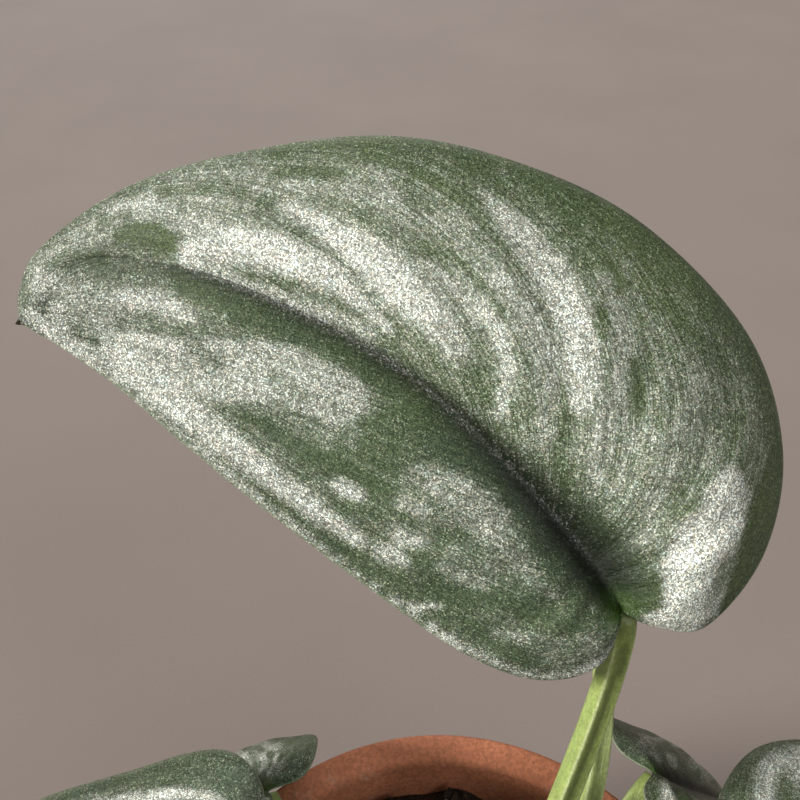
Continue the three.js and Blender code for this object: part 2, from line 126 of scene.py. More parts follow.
# The marks on a blade that its finish reads: widths in mm, and starts and ends in shares of its length. Each
# step of an end takes a share of the mark away between two rows. Each leaf's pattern is a step further on.
# The shade is painted shade along the midrib's valley; the edge is a painted highlight along the rim.
MARKS = {
    "rib_width": 0.9, "rib_starts": (0.3, 0.5), "rib_ends": (0.78, 0.88),
    "shade_width": {"wide": (5.4, 2.6), "narrow": (4.4, 3.2)}, "shade_narrows": (0.4, 0.8),
    "shade_starts": (0.05, 0.3),
    "shade_ends": {"wide": [(1, 0.62, 0.88)], "narrow": [(0.35, 0.5, 0.7), (0.65, 0.8, 0.96)]},
    "heart": (0.4, 0.2), "heart_width": 2.9, "dry": (0.3, 0.7),
    "edge_from": 0.98, "wide_edge": 0.4, "wide_edge_over": (0.12, 0.25), "pattern_step": 7.3,
}

# name, vine, share of the vine, size, side of the narrow half, place of the stalk's end, heading, pitch and
# roll in degrees, curve of the back in 1/mm, fold, wave, breadth of the wide and the narrow half, how the
# stalk leaves the vine, how it comes to the blade, and over what length.
LEAF_FACTS = (
    "name", "vine", "at", "size", "hand", "base", "heading", "pitch", "roll", "back", "fold", "wave",
    "wide", "narrow", "leave", "arrive_from", "reach",
)
LEAVES = [dict(zip(LEAF_FACTS, facts)) for facts in (
    ("leaf_large", "vine_middle", 0.88, 1, 1, (24, 29.6, 180.6), 162.8, 19.4, 47.1, 0.0018, 1, 0, 1, 1,
     (0.2, 0.25, 1), (0.26, 0.2, -1), 18),
    ("leaf_back", "vine_middle", 0.76, 0.66, -1, (25, 56, 171), 82, -16, 6, 0.004, 0.6, 1.2, 0.95, 1.3,
     (0.9, 0.35, 0.9), (0.1, -0.8, -0.6), 24),
    ("leaf_left", "vine_middle", 0.62, 0.8, -1, (-36, 16, 134), 176, -17, 4, 0.005, 0.55, 1.4, 0.95, 1.3,
     (-0.8, 0.1, 0.7), (0.8, 0, -0.6), 18),
    ("leaf_front", "vine_middle", 0.5, 0.74, 1, (1, -32, 149), 262, -12, -4, 0.006, 0.7, 1.3, 1, 1.2,
     (-0.1, -0.5, 0.9), (0, 0.6, -0.8), 18),
    ("leaf_back_right", "vine_middle", 0.38, 0.72, 1, (42, 36, 119), 40, -40, 0, 0.009, 0.6, 1.2, 0.95, 1.3,
     (0.7, 0.5, 0.6), (-0.7, -0.6, -0.3), 14),
    ("leaf_back_left", "vine_left", 0.3, 0.76, -1, (-36, 33, 118), 128, -36, 0, 0.012, 0.6, 1.4, 0.95, 1.25,
     (0, 0.7, 0.8), (0.5, -0.7, -0.4), 14),
    ("leaf_front_left", "vine_left", 0.42, 0.92, 1, (-38, -34, 137), 228, -20, 0, 0.005, 0.65, 1.5, 1, 1.15,
     (-0.3, -0.2, 1), (0.6, 0.5, -0.6), 18),
    ("leaf_low_left", "vine_left", 0.72, 0.68, 1, (-76, -20, 96), 188, -52, 0, 0.006, 0.55, 1.2, 0.9, 1.3,
     (-0.6, 0.6, 0.4), (0.6, -0.4, -0.2), 10),
    ("leaf_tip_left", "vine_left", 0.96, 0.46, -1, (-80, -66, 76), 228, -58, 0, 0.008, 0.7, 0.8, 0.95, 1.2,
     (-0.6, -0.4, 0.3), (0.6, 0.66, -0.35), 8),
    ("leaf_right", "vine_right", 0.3, 0.86, -1, (58, -2, 130), -4, -20, 0, 0.005, 0.6, 1.5, 0.95, 1.25,
     (0.6, 0.3, 0.9), (-0.8, -0.1, -0.6), 18),
    ("leaf_front_right", "vine_right", 0.56, 0.94, -1, (36, -48, 134), 296, -24, 0, 0.0045, 0.7, 1.5, 1, 1.15,
     (0, -0.2, 1), (-0.2, 0.6, -0.8), 18),
    ("leaf_low_right", "vine_right", 0.9, 0.66, 1, (76, -50, 100), 338, -46, 0, 0.006, 0.6, 1.2, 0.9, 1.3,
     (0.7, 0, 0.6), (-0.7, 0.2, -0.4), 10),
)]

# The marks on a vine that its finish reads. Then its pattern's flow: the mm along the vine that make a unit,
# and the radius of the circle that the pattern is read on.
LIMB_MARKS = ("channel", "wing", "bark", "node")
FLOW = {"length": 10, "radius": 0.6}

# The steps of a line while it is worked out: in each span of a vine, along a stalk or an air root, and where
# a vine is measured.
STEPS = {"span": 60, "curve": 240, "measure": 200}

# The points that each vine runs through.
VINES = {
    "vine_middle": [(4, 0, 68), (4, 2, 90), (7, 3, 103), (8, 6, 114), (12, 8, 126)],
    "vine_left": [(-16, -10, 68), (-17, -12, 90), (-25, -20, 104), (-42, -33, 109), (-58, -45, 103),
                  (-70, -56, 86)],
    "vine_right": [(18, -12, 68), (19, -14, 90), (26, -24, 104), (40, -38, 108), (56, -48, 102)],
}
VINE = {
    "radius": 2.6, "tip_radius": 1.8, "node_swell": 0.6, "node_length": 3, "columns": 32, "rows": 220,
    "ring": 0.16, "ring_off": 0.9, "ring_width": 0.35, "node_mark": 0.8, "tip_round": (0.985, 0.0151),
    "rib": 0.05, "ribs": 7, "rib_twist": 9, "fine_rib": 0.04, "fine_ribs": 13,
    "bark": 0.55, "bark_patches": 0.25, "bark_turns": 3, "bark_twist": 20, "most_bark": 0.8,
    "first_side": (0.3, 1, 0.2),
}

# A leaf stalk. The places and widths of its channel and wings are radians round it. Where the channel opens,
# the knee and the dark stretch are mm from the blade.
STALK = {
    "radius": 2.25, "sheath_radius": 2.9, "sheath_share": 0.3, "smallest": 0.55, "leave_share": 0.4,
    "sink_in": 0.6, "columns": 48, "fine_columns": 112, "rows": 96,
    "opens_over": (1.5, 9), "channel_width": 0.5, "channel_mark": 0.6,
    "wing": (0.1, 0.3), "wing_over": (0.55, 0.2), "wing_at": 0.75, "wing_width": 0.2, "wing_mark": 0.09,
    "knee": 0.06, "knee_at": 4.5, "knee_length": 3, "dark": 0.8, "dark_length": 5.5,
    "papery": 0.7, "papery_share": 0.1,
}

# Air roots: the vine, the share of its length, where the root points and its length.
ROOTS = [
    ("vine_middle", 0.5, (0.8, 0.2, -0.7), 13), ("vine_left", 0.42, (-0.1, 0.5, -1), 12),
    ("vine_left", 0.72, (0.1, 0.3, -1), 9), ("vine_right", 0.56, (-0.1, 0.4, -1), 12),
]
ROOT = {
    "radius": 0.9, "tip_radius": 0.45, "droop": 0.35, "columns": 12, "rows": 30, "tip_round": (0.94, 0.0601),
    "knob": 0.08, "knobs": 41, "knob_twist": 2, "bark": 0.95, "pale_tip": 0.6, "pale_tip_from": 0.85,
    "first_side": (0.2, 0.1, 1),
}
NEW_LEAF = {
    "length": 50, "radius": 2.9, "tip_radius": 0.35, "foot_share": 0.13, "blunt": 0.8, "gap": 0.3,
    "lean": (0.12, -0.3, 1), "bow": (2, -3, 0), "columns": 72, "rows": 110,
    "lap_start": 0.15, "lap_turns": 0.5, "lap_edge": 0.03, "under_lap": 0.93, "lap_out": 0.15,
    "seam_at": 0.035, "seam_width": 0.02, "first_side": (0, -1, 0),
}

# How silvered a blade is before its splashes, and the least and most that it can be after them.
SILVER = {"large": (0.37, -0.1, 1.5), "small": (0.2, -0.1, 0.95)}

# How far a stroke's edge reaches out and in, against its softness.
STROKE_EDGE = (1.2, 1.1)

# The seeded splashes of the smaller leaves, each along a side vein.
SMALL_SPLASH = {
    "wide_share": 0.6, "start": (0.05, 0.75), "length": (0.15, 0.5), "farthest": 0.97,
    "vein": (0.1, 0.85), "rows": (0.02, 0.98), "width": (0.7, 3.2), "widths": (0.5, 1, 0.9, 0.35),
    "narrower_on": 0.4, "strength": (0.2, 0.6), "weaker_on": 0.5, "softness": (0.6, 1.6),
    "samples": 32, "bare_share": 3, "seed": 100,
}

# The silver on the largest leaf: partly its own markings and partly painted highlight where the leaf caught
# the light. Each splash has a strength, the softness of its edge in mm, and a stroke of points (x, y, half
# its width) on the flat leaf.
SPLASHES = {
    "lobe": (1.02, 1.8, [(-9.6, -1.4, 2.3), (-5.8, -8, 3.1), (-4.6, -14, 3.3), (-5.8, -19.5, 3.2),
                         (-4.8, -25, 0.8)]),
    "lobe foot": (0.8, 1, [(-10, -3.4, 1.2), (-7, -1.9, 2.1), (-3.8, -1, 1.1)]),
    "lobe rim": (0.45, 1, [(-10.8, -3.4, 0.8), (-12.4, -6.2, 1.2), (-12.6, -9, 0.8)]),
    "lobe glow": (0.15, 3, [(-8, -4, 3), (-6, -12, 5), (-6, -20, 4)]),
    "arc": (0.47, 1.4, [(19, -24.5, 0.7), (22, -30.5, 2.5), (26.2, -36.4, 2.6), (34, -42.4, 2.6),
                        (45.6, -48.6, 0.9)]),
    "long streak": (0.52, 1.8, [(38, -24, 1), (48, -28.8, 2.8), (61, -32.4, 2.8), (72, -34, 0.8)]),
    "rib patch": (0.55, 1.2, [(50.5, -23.4, 0.8), (57, -25.4, 1.2), (64, -26.6, 2.2), (74, -25.7, 3),
                              (85.4, -20.6, 1.4)]),
    "rib patch end": (0.3, 1.2, [(78, -26.4, 1.2), (88, -24.4, 1.6)]),
    "rib edge": (0.3, 0.8, [(52, -21.2, 0.7), (60, -21.2, 1.1), (84, -19.2, 0.8)]),
    "broad patch": (0.34, 0.9, [(52.5, -10.5, 4.4), (62, -10, 4.6), (72, -6, 4.6), (86, -3, 2.1)]),
    "margin band": (0.5, 1.2, [(40, 8, 0.8), (50, 6.4, 1.6), (62, 4.2, 2.1), (74, 1.6, 2.3),
                               (90, -1.4, 1.2)]),
    "tip": (0.27, 2, [(90, -9, 2.4), (98, -6.4, 2.6), (103.6, -5.8, 2.4)]),
    "tip light": (0.44, 1.2, [(79, -11.4, 0.6), (84.4, -11.6, 1.7), (90, -10.2, 1)]),
    "tip light above": (0.3, 1, [(78, -7, 0.7), (86, -5.6, 1.2), (94, -3.4, 1.2)]),
    "margin light": (0.35, 0.8, [(72, 3.8, 0.6), (79, 2.6, 0.9), (86, 1.4, 0.8)]),
    "far margin": (0.27, 1.4, [(78, -34, 0.8), (90, -29.6, 1.2), (100, -22, 1.4)]),
    "tip end": (0.3, 1, [(98.4, -2.4, 1), (100.6, -3, 1)]),
    "tip margin": (0.5, 1.2, [(86, 1.8, 0.7), (96, 0.6, 1.2), (104, -0.4, 1.4)]),
    "tip of the wide half": (0.22, 2, [(94, -23, 2), (101, -17.4, 3), (106, -8, 3)]),
    "spot": (0.5, 0.8, [(43.6, 1.2, 1.4), (46, 1, 1.4)]),
    "double spot": (0.36, 0.8, [(32.5, 7.8, 1), (36.2, 7.8, 1.6)]),
    "double spot below": (0.36, 0.8, [(31.8, 3.6, 0.7), (35, 4.4, 1.3)]),
    "fleck": (0.5, 0.6, [(25, 11.4, 0.7), (28.4, 13.2, 0.8)]),
    "small patch": (0.22, 0.8, [(20.5, 5.6, 1), (27.5, 5.8, 1.2)]),
    "middle patch": (0.24, 1.2, [(19, -4.6, 1.4), (27.6, -5.8, 3.4), (36.5, -6, 1.6)]),
    "middle band": (0.16, 1, [(14, 0.4, 0.8), (20, -1, 1.3), (25, -2.2, 1)]),
    "middle light": (0.3, 1, [(33, -0.8, 1), (38.5, -0.6, 0.9)]),
    "inner patch": (0.16, 1.2, [(2, 7, 1), (4, 5, 1)]),
    "shoulder": (0.3, 0.8, [(12, 9.8, 0.8), (15.5, 11.4, 1)]),
    "lobe margin": (0.34, 0.8, [(-0.2, 9, 0.8), (2.6, 12.6, 1.2), (4.6, 13.8, 1), (9, 15.4, 0.9),
                                (24, 15.6, 0.9)]),
    "inner margin": (0.26, 0.8, [(-0.6, 3.6, 0.8), (-0.5, 7, 0.9), (0.6, 10.5, 0.9)]),
    "narrow edge": (0.4, 0.7, [(20, 15.8, 0.6), (47, 11.2, 0.9), (60, 8.6, 0.9), (80, 4.2, 0.6),
                               (100, 1, 0.4)]),
    "fan 1": (0.14, 1.4, [(3, -12, 1), (5, -22, 2.4), (5, -36, 2)]),
    "fan 2": (0.14, 1.4, [(8, -14, 1), (11, -24, 1.8), (10, -34, 1.6)]),
    "fan 3": (0.23, 1.3, [(12, -15, 1), (15, -21, 2), (15.4, -28, 1.6), (17.4, -36, 1.5), (24.5, -44, 1.4)]),
    "fan 4": (0.3, 1.4, [(22, -17.5, 0.8), (25, -26, 1.5), (31, -32.4, 2), (38.5, -37.6, 1)]),
    "fan 5": (0.38, 1.4, [(30, -19, 1), (33, -28, 1.4), (43, -32.6, 1.4), (48, -34, 0.6)]),
    "fan 6": (0.22, 1.4, [(-2, -22, 0.8), (-0.5, -29, 1)]),
    "far streak": (0.18, 1.6, [(62, -44.6, 1), (56, -40, 2), (48, -41, 1.6), (38, -36, 1)]),
    "lower streak": (0.22, 1.4, [(30, -46, 0.8), (40, -51, 1.4), (46, -53, 1.2)]),
    "upper field": (0.16, 3, [(62, -42, 3), (76, -35, 4), (92, -27, 4)]),
}

# Where the largest leaf stays green, in the same way: partly its own green and partly painted shade where it
# turned from the light, as along the midrib.
BARE = {
    "wide margin": (0.34, 2, [(-17, -14, 2), (-14, -32, 3.2), (-2, -46, 4), (20, -53.5, 4), (44, -55, 2.6),
                              (64, -50, 1.6), (80, -41.5, 1)]),
    "lobe margin": (0.9, 1.6, [(-14.4, -8, 0.6), (-15.6, -14, 2.6), (-14.6, -21, 3.4), (-14, -30, 2.4)]),
    "below the arc": (0.24, 2, [(22, -45, 1.6), (34, -49.5, 2.2), (50, -51, 2)]),
    "left of the arc": (0.22, 1.4, [(2, -40, 1.4), (10, -43, 2), (17, -46.5, 1.6)]),
    "rib shade": (0.32, 1.4, [(4, -2.2, 1.2), (14, -5.6, 2), (30, -11, 2.6), (48, -16, 2), (68, -16.2, 2),
                              (83, -16.2, 1.2)]),
    "broad patch gap": (0.22, 0.8, [(57, -8.4, 0.8), (63, -9.4, 1)]),
    "broad patch top": (0.2, 0.8, [(40, -4.6, 0.8), (47, -3.6, 0.9), (50, -3.6, 0.5)]),
    "between patches": (0.2, 1, [(34, -10, 3.2), (42, -9.5, 4.2), (44.5, -7, 2.4)]),
    "green streak": (0.36, 0.9, [(39, -0.8, 1.5), (50, -1, 1.5), (58, -1.2, 1), (64, -1.8, 0.5)]),
    "narrow margin": (0.22, 1.6, [(10, 12.6, 1.4), (28, 11, 2), (44, 10.2, 1.2), (60, 7.6, 0.8)]),
    "narrow middle": (0.3, 1.4, [(5, 4, 1.2), (10, 5, 2), (16, 5.4, 1.6), (24, 8.4, 1.6), (30, 5.8, 1.2)]),
    "below middle patch": (0.24, 1.1, [(7, 1, 1.2), (11, -0.6, 1.2), (16, -3.6, 1), (20, -5, 0.6)]),
    "above middle patch": (0.2, 1, [(27, 0.4, 0.8), (30, 1.8, 1.2)]),
    "narrow low": (0.2, 1, [(36, 1, 0.8), (46, 4.6, 1)]),
    "tip streak": (0.22, 0.8, [(72, -7.4, 0.8), (80, -7.4, 0.9), (90, -5.4, 0.5)]),
    "tip rib": (0.24, 1.2, [(96, -13.4, 0.8), (101, -12.4, 1.6), (105, -9, 1)]),
    "tip shade": (0.5, 0.8, [(86.6, -20.6, 1.1), (92, -20.6, 1.8), (96.4, -18.6, 1)]),
    "far tip shade": (0.3, 1, [(97, -22, 0.8), (101, -19.4, 1)]),
    "dark patch": (0.32, 0.8, [(68, -42, 0.9), (73, -40.4, 1), (77.4, -38.2, 1)]),
    "dark streak": (0.3, 0.8, [(46, -46, 0.7), (56, -47.6, 0.9), (66, -46.4, 0.8)]),
    "far streak": (0.2, 1, [(60, -35.6, 0.8), (68, -36, 1.2), (73, -35, 0.8)]),
    "far tip streak": (0.42, 0.8, [(76, -33.2, 0.8), (84, -32.4, 1.2), (94, -27.4, 1)]),
    "heart": (0.5, 1.8, [(-1.9, -3.8, 1.3), (0.4, -5, 2.2), (5, -6.6, 2), (10, -9, 1.6)]),
    "fan shade 1": (0.25, 0.8, [(-4, -15, 0.5), (-1.6, -19, 0.7)]),
    "fan shade 2": (0.22, 0.8, [(16, -12.6, 0.7), (18.6, -16.4, 0.8), (21.4, -23, 0.5), (23, -26, 0.3)]),
    "fan shade 3": (0.12, 1, [(-1.5, -9, 0.8), (-1, -16, 1), (-3, -34, 1.2)]),
    "fan shade 4": (0.22, 0.9, [(31, -20, 0.7), (39, -24.6, 1), (43, -27, 0.7)]),
    "fan shade 5": (0.44, 0.8, [(11.6, -27, 0.4), (13, -30, 0.8), (15.4, -34, 0.7)]),
    "fan shade 6": (0.3, 0.7, [(21, -35.6, 0.5), (22.8, -39, 0.7)]),
}

# How fine the patterns of the finishes are, in cells or waves per metre. Stretched ones have a scale for each
# axis of their own flow.
PATTERNS = {
    "blade": {"streaks": (150, 4.5, 1), "fine_streaks": (520, 9, 1), "mottle": 460, "grain": 5200,
              "glints": 2500, "clumps": 1900, "cast": 640, "tone": 55, "leather": 2600},
    "underside": {"streaks": (90, 3, 1), "mottle": 420, "specks": 3200, "leather": 2600},
    "stalk": {"ribs": (6, 60, 1), "mottle": 500, "specks": 2600},
    "new_leaf": {"streaks": (5, 16, 1), "grain": 4300, "tone": 120},
    "clay": {"rings": (6, 6, 700), "clouds": 38, "sand": 1500, "salt": 85, "pits": 900, "rough": 1800},
    "soil": {"clods": 260, "fine": 1400, "threads": (2400, 260, 900), "specks": 1900},
    "perlite": {"dirt": 450, "pores": 2400},
    "bark": {"grain": (300, 2200, 2200), "patches": 160},
    "floor": {"clouds": 7, "specks": 900},
}

# The fixed colours of the finishes. The first five multiply another colour. The casts tint painted glints,
# the bluish tint paints skylight on the narrow half, the pale rim colour is a painted highlight, and the
# channel's colour is painted shade in a stalk's channel.
TONES = {
    "warm cast": (1.1, 1.0, 0.9), "cool cast": (0.9, 1.0, 1.1), "rosy cast": (1.06, 0.98, 0.97),
    "fresh": (1.35, 1.3, 1.1), "painted skylight": (1.02, 1.04, 1.32),
    "dull grain": (0.265, 0.35, 0.19), "sage": (0.163, 0.204, 0.134), "heart": (0.035, 0.08, 0.003),
    "rim highlight": (0.36, 0.4, 0.27), "dry": (0.05, 0.032, 0.014), "rib below": (0.33, 0.4, 0.2),
    "channel": (0.075, 0.09, 0.022), "wing": (0.5, 0.52, 0.3), "node": (0.13, 0.1, 0.045),
    "old stem": (0.11, 0.07, 0.035), "light old stem": (0.23, 0.17, 0.09),
    "roll": (0.16, 0.24, 0.06), "light roll": (0.22, 0.31, 0.09), "seam": (0.3, 0.36, 0.16),
    "salt": (0.62, 0.53, 0.46), "peat": (0.012, 0.008, 0.005), "light peat": (0.06, 0.036, 0.02),
    "thread": (0.17, 0.1, 0.05), "perlite": (0.74, 0.72, 0.67), "dirty perlite": (0.33, 0.26, 0.19),
    "bark": (0.045, 0.022, 0.012), "light bark": (0.19, 0.1, 0.052), "grey bark": (0.09, 0.06, 0.045),
}

# How far each relief of the finishes stands out, in metres.
DEPTHS = {
    "leather": 0.00006, "fine streaks": 0.00016, "mottle": 0.0003, "grains": 0.00016,
    "underside streaks": 0.0002, "ribs": 0.00022, "stalk mottle": 0.0001, "roll": 0.0002,
    "pits": 0.00018, "rings": 0.0004, "rough clay": 0.00015, "fine soil": 0.0008, "clods": 0.0015,
    "pores": 0.0003, "bark": 0.0005,
}

# The camera's place, 133.5 mm in front of the large leaf, how far it looks down in degrees, the width of its
# film and how near it sees. Then the floor's half width, and the light of the surroundings.
STAGE = {
    "camera": (-9.3, -52.3, 290.8), "looks_down": 40, "film": 36, "near": 5, "floor_reach": 12000,
    "world": (1, 0.92, 0.87, 1), "world_strength": 0.28,
}

# Each light: its name, the way to it, its spread in degrees, its strength and its colour.
LIGHTS = [
    ("key", (-0.98, -0.26, 0.5), 16, 5.2, (1, 0.985, 0.96)),
    ("fill", (0.75, -0.85, 0.8), 40, 1.0, (0.93, 0.97, 1)),
    ("back", (-0.2, 1.1, 0.8), 40, 0.8, (0.96, 0.98, 1)),
]


class LeafSettings(PropertyGroup):
    green: FloatVectorProperty(
        name="Green", description="Colour of the blade where it isn't silvered", subtype="COLOR",
        default=(0.056, 0.082, 0.035), min=0, max=1)
    # The deep green also colours the painted shade along the midrib.
    deep: FloatVectorProperty(
        name="Deep green", description="Colour along the midrib and in the darkest patches", subtype="COLOR",
        default=(0.0055, 0.0125, 0.004), min=0, max=1)
    silver: FloatVectorProperty(
        name="Silver", description="Colour of the silvered patches", subtype="COLOR",
        default=(0.462, 0.5, 0.438), min=0, max=1)
    underside: FloatVectorProperty(
        name="Underside", description="Colour of the blade's lower face", subtype="COLOR",
        default=(0.20, 0.27, 0.14), min=0, max=1)
    splashes: IntProperty(
        name="Splashes", description="Silver splashes on each of the smaller leaves",
        default=42, min=0, max=80)


class StalkSettings(PropertyGroup):
    green: FloatVectorProperty(
        name="Green", description="Colour of the stalks", subtype="COLOR",
        default=(0.205, 0.262, 0.071), min=0, max=1)
    channel_depth: FloatProperty(
        name="Channel depth", description="Depth of the stalk's channel against its radius",
        default=0.3, min=0, max=0.6, subtype="FACTOR")


class PotSettings(PropertyGroup):
    clay: FloatVectorProperty(
        name="Clay", description="Colour of the fired clay", subtype="COLOR",
        default=(0.47, 0.17, 0.085), min=0, max=1)
    bloom: FloatProperty(
        name="Bloom", description="How much pale salt has come out of the clay", default=0.5,
        min=0, max=1, subtype="FACTOR")
    seed: IntProperty(
        name="Seed", description="Draw of the soil's crumbs, bark and perlite", default=7, min=0)


class StageSettings(PropertyGroup):
    floor: FloatVectorProperty(
        name="Floor", description="Colour of the plain floor", subtype="COLOR",
        default=(0.212, 0.174, 0.153), min=0, max=1)
    lens: FloatProperty(name="Lens", description="Focal length of the camera in mm", default=40.05, min=10)


def smooth(value, start, end):
    share = np.clip((value - start) / (end - start), 0, 1)
    return share * share * (3 - 2 * share)


def blend(a, b, share):
    return a + (b - a) * share


def bell(value, width, power=2):
    """Falls softly from 1 in the middle to about a third at the width."""
    return np.exp(-((value / width) ** power))


def unit(vector):
    vector = np.asarray(vector, float)
    return vector / np.linalg.norm(vector, axis=-1, keepdims=True)


def spline(points, share):
    """Points of a smooth curve through the given ones, at shares from 0 to 1."""
    points = np.asarray(points, float)
    last = len(points) - 1
    place = np.clip(share, 0, 1) * last
    index = np.minimum(place.astype(int), last)
    w = (place - index)[:, None]
    before = np.where((index == 0)[:, None], points[index], points[np.maximum(index - 1, 0)])
    here = points[index]
    after = points[np.minimum(index + 1, last)]
    beyond = points[np.minimum(index + 2, last)]
    a, b = (after - before) / 2, (beyond - here) / 2
    return (2 * here - 2 * after + a + b) * w**3 + (3 * after - 3 * here - 2 * a - b) * w**2 + a * w + here


def flat_point(leaf, row, across, half):
    """The flat leaf at rows from stalk to tip and shares from the midrib to the edge of one half."""
    a = spline(LEAF["midrib"], row)
    b = spline(LEAF[half], row)
    bend = LEAF["vein_bend"] * smooth(row, *LEAF["vein_bend_from"]) * np.linalg.norm(b - a, axis=1)
    c = (a + b) / 2 - np.stack([bend, np.zeros_like(bend)], 1)
    if half == "wide":
        heading = unit(spline(LEAF["midrib"], row + 0.005) - spline(LEAF["midrib"], row - 0.005) + (1e-9, 0))
        bulge = LEAF["tip_bulge"] * smooth(row, *LEAF["tip_bulge_from"]) * np.linalg.norm(b - a, axis=1)
        c += bulge[:, None] * np.stack([heading[:, 1], -heading[:, 0]], 1)
    t = across[:, None]
    return (((1 - t) ** 2 - 1) * a + 2 * t * (1 - t) * c + t * t * b) * leaf[half] + a


def blade_height(leaf, row, across, half):
    """How high the blade's upper face stands over the flat leaf."""
    inside = (row > 0) & (row < 1)
    fullness = np.where(inside, np.abs(np.sin(np.pi * row ** LEAF["fullest"])), 0) ** LEAF["blunt"]
    valley = blend(*LEAF["valley"], smooth(row, *LEAF["tip_flat_from"]))
    lifted = across + (np.hypot(across, valley) - valley - across) * (1 - across)
    arch = np.sin(np.pi * lifted * (1 + LEAF["crest_skew"] * (1 - lifted)))
    arch = arch * (1 - LEAF["tip_flat"] * smooth(row, *LEAF["tip_flat_from"]))
    if half == "wide":
        arch = arch * blend(LEAF["lobe_flat"], 1, smooth(row, *LEAF["lobe_flat_to"]))
    roll = LEAF["roll"][half] * smooth(row, *LEAF["roll_from"]) * across**3
    fold = leaf["fold"] * (LEAF["crest"][half] * arch - roll)
    wave = leaf["wave"] * np.sin(2 * np.pi * LEAF["waves"] * row + LEAF["wave_start"][half]) * across**2
    ridges = np.cos(2 * np.pi * SIDE_VEINS * row) * np.sin(np.pi * across)
    quilted = smooth(row, *LEAF["quilt_from"][half]) * (1 - smooth(row, *LEAF["quilt_to"]))
    quilt = LEAF["quilt"] * ridges * quilted
    return fullness * (fold + wave) - quilt


def bend_blade(leaf, flat, height):
    """Puts a point over the flat leaf into the leaf's own frame, with its back curved along its length."""
    radius = 1 / (leaf["back"] * leaf["size"])
    angle = flat[:, 0] / radius
    across = leaf["hand"] * flat[:, 1]
    out = radius + height
    return np.stack([out * np.sin(angle), across, out * np.cos(angle) - radius], 1) * leaf["size"]


def leaf_frame(leaf):
    """The leaf's own axes as rows: x to the tip, z out of the upper face."""
    heading, pitch, roll = np.radians([leaf["heading"], leaf["pitch"], leaf["roll"]])
    x = np.array([math.cos(heading) * math.cos(pitch), math.sin(heading) * math.cos(pitch), math.sin(pitch)])
    z = unit(np.array([0, 0, 1.0]) - x * x[2])
    z = z * math.cos(roll) - np.cross(x, z) * math.sin(roll)
    return np.stack([x, np.cross(z, x), z])


def mesh_of(bm, name):
    mesh = bpy.data.meshes.new(name)
    bm.to_mesh(mesh)
    bm.free()
    return mesh


def coordinates(mesh):
    values = np.empty(len(mesh.vertices) * 3)
    mesh.vertices.foreach_get("co", values)
    return values.reshape(-1, 3)


def set_attribute(mesh, name, values):
    kind, key = ("FLOAT", "value") if values.ndim == 1 else ("FLOAT_VECTOR", "vector")
    mesh.attributes.new(name, kind, "POINT").data.foreach_set(key, values.ravel())


def grid_shares(mesh):
    """How far each vertex of a flat grid lies along it and across it, from 0 to 1."""
    at = coordinates(mesh)[:, :2]
    low, high = at.min(0), at.max(0)
    return ((at - low) / (high - low)).T


def smooth_faces(bm):
    for face in bm.faces:
        face.smooth = True


def close_up(mesh):
    """Merges doubled vertices, then turns every face outwards."""
    bm = bmesh.new()
    bm.from_mesh(mesh)
    bmesh.ops.remove_doubles(bm, verts=bm.verts, dist=DOUBLES)
    bmesh.ops.dissolve_degenerate(bm, edges=bm.edges, dist=DOUBLES)
    bmesh.ops.recalc_face_normals(bm, faces=bm.faces)
    smooth_faces(bm)
    bm.to_mesh(mesh)
    bm.free()


def into_scene(name, data):
    made = bpy.data.objects.new(name, data)
    bpy.context.scene.collection.objects.link(made)
    return made


def show(mesh, name, materials, slot, *nodes):
    """Puts a finished mesh in the scene as a piece that stands for the named nodes."""
    piece = into_scene(name, mesh)
    for material in materials:
        mesh.materials.append(material)
    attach(piece, "root")
    if nodes:
        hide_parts(*nodes)
    return piece


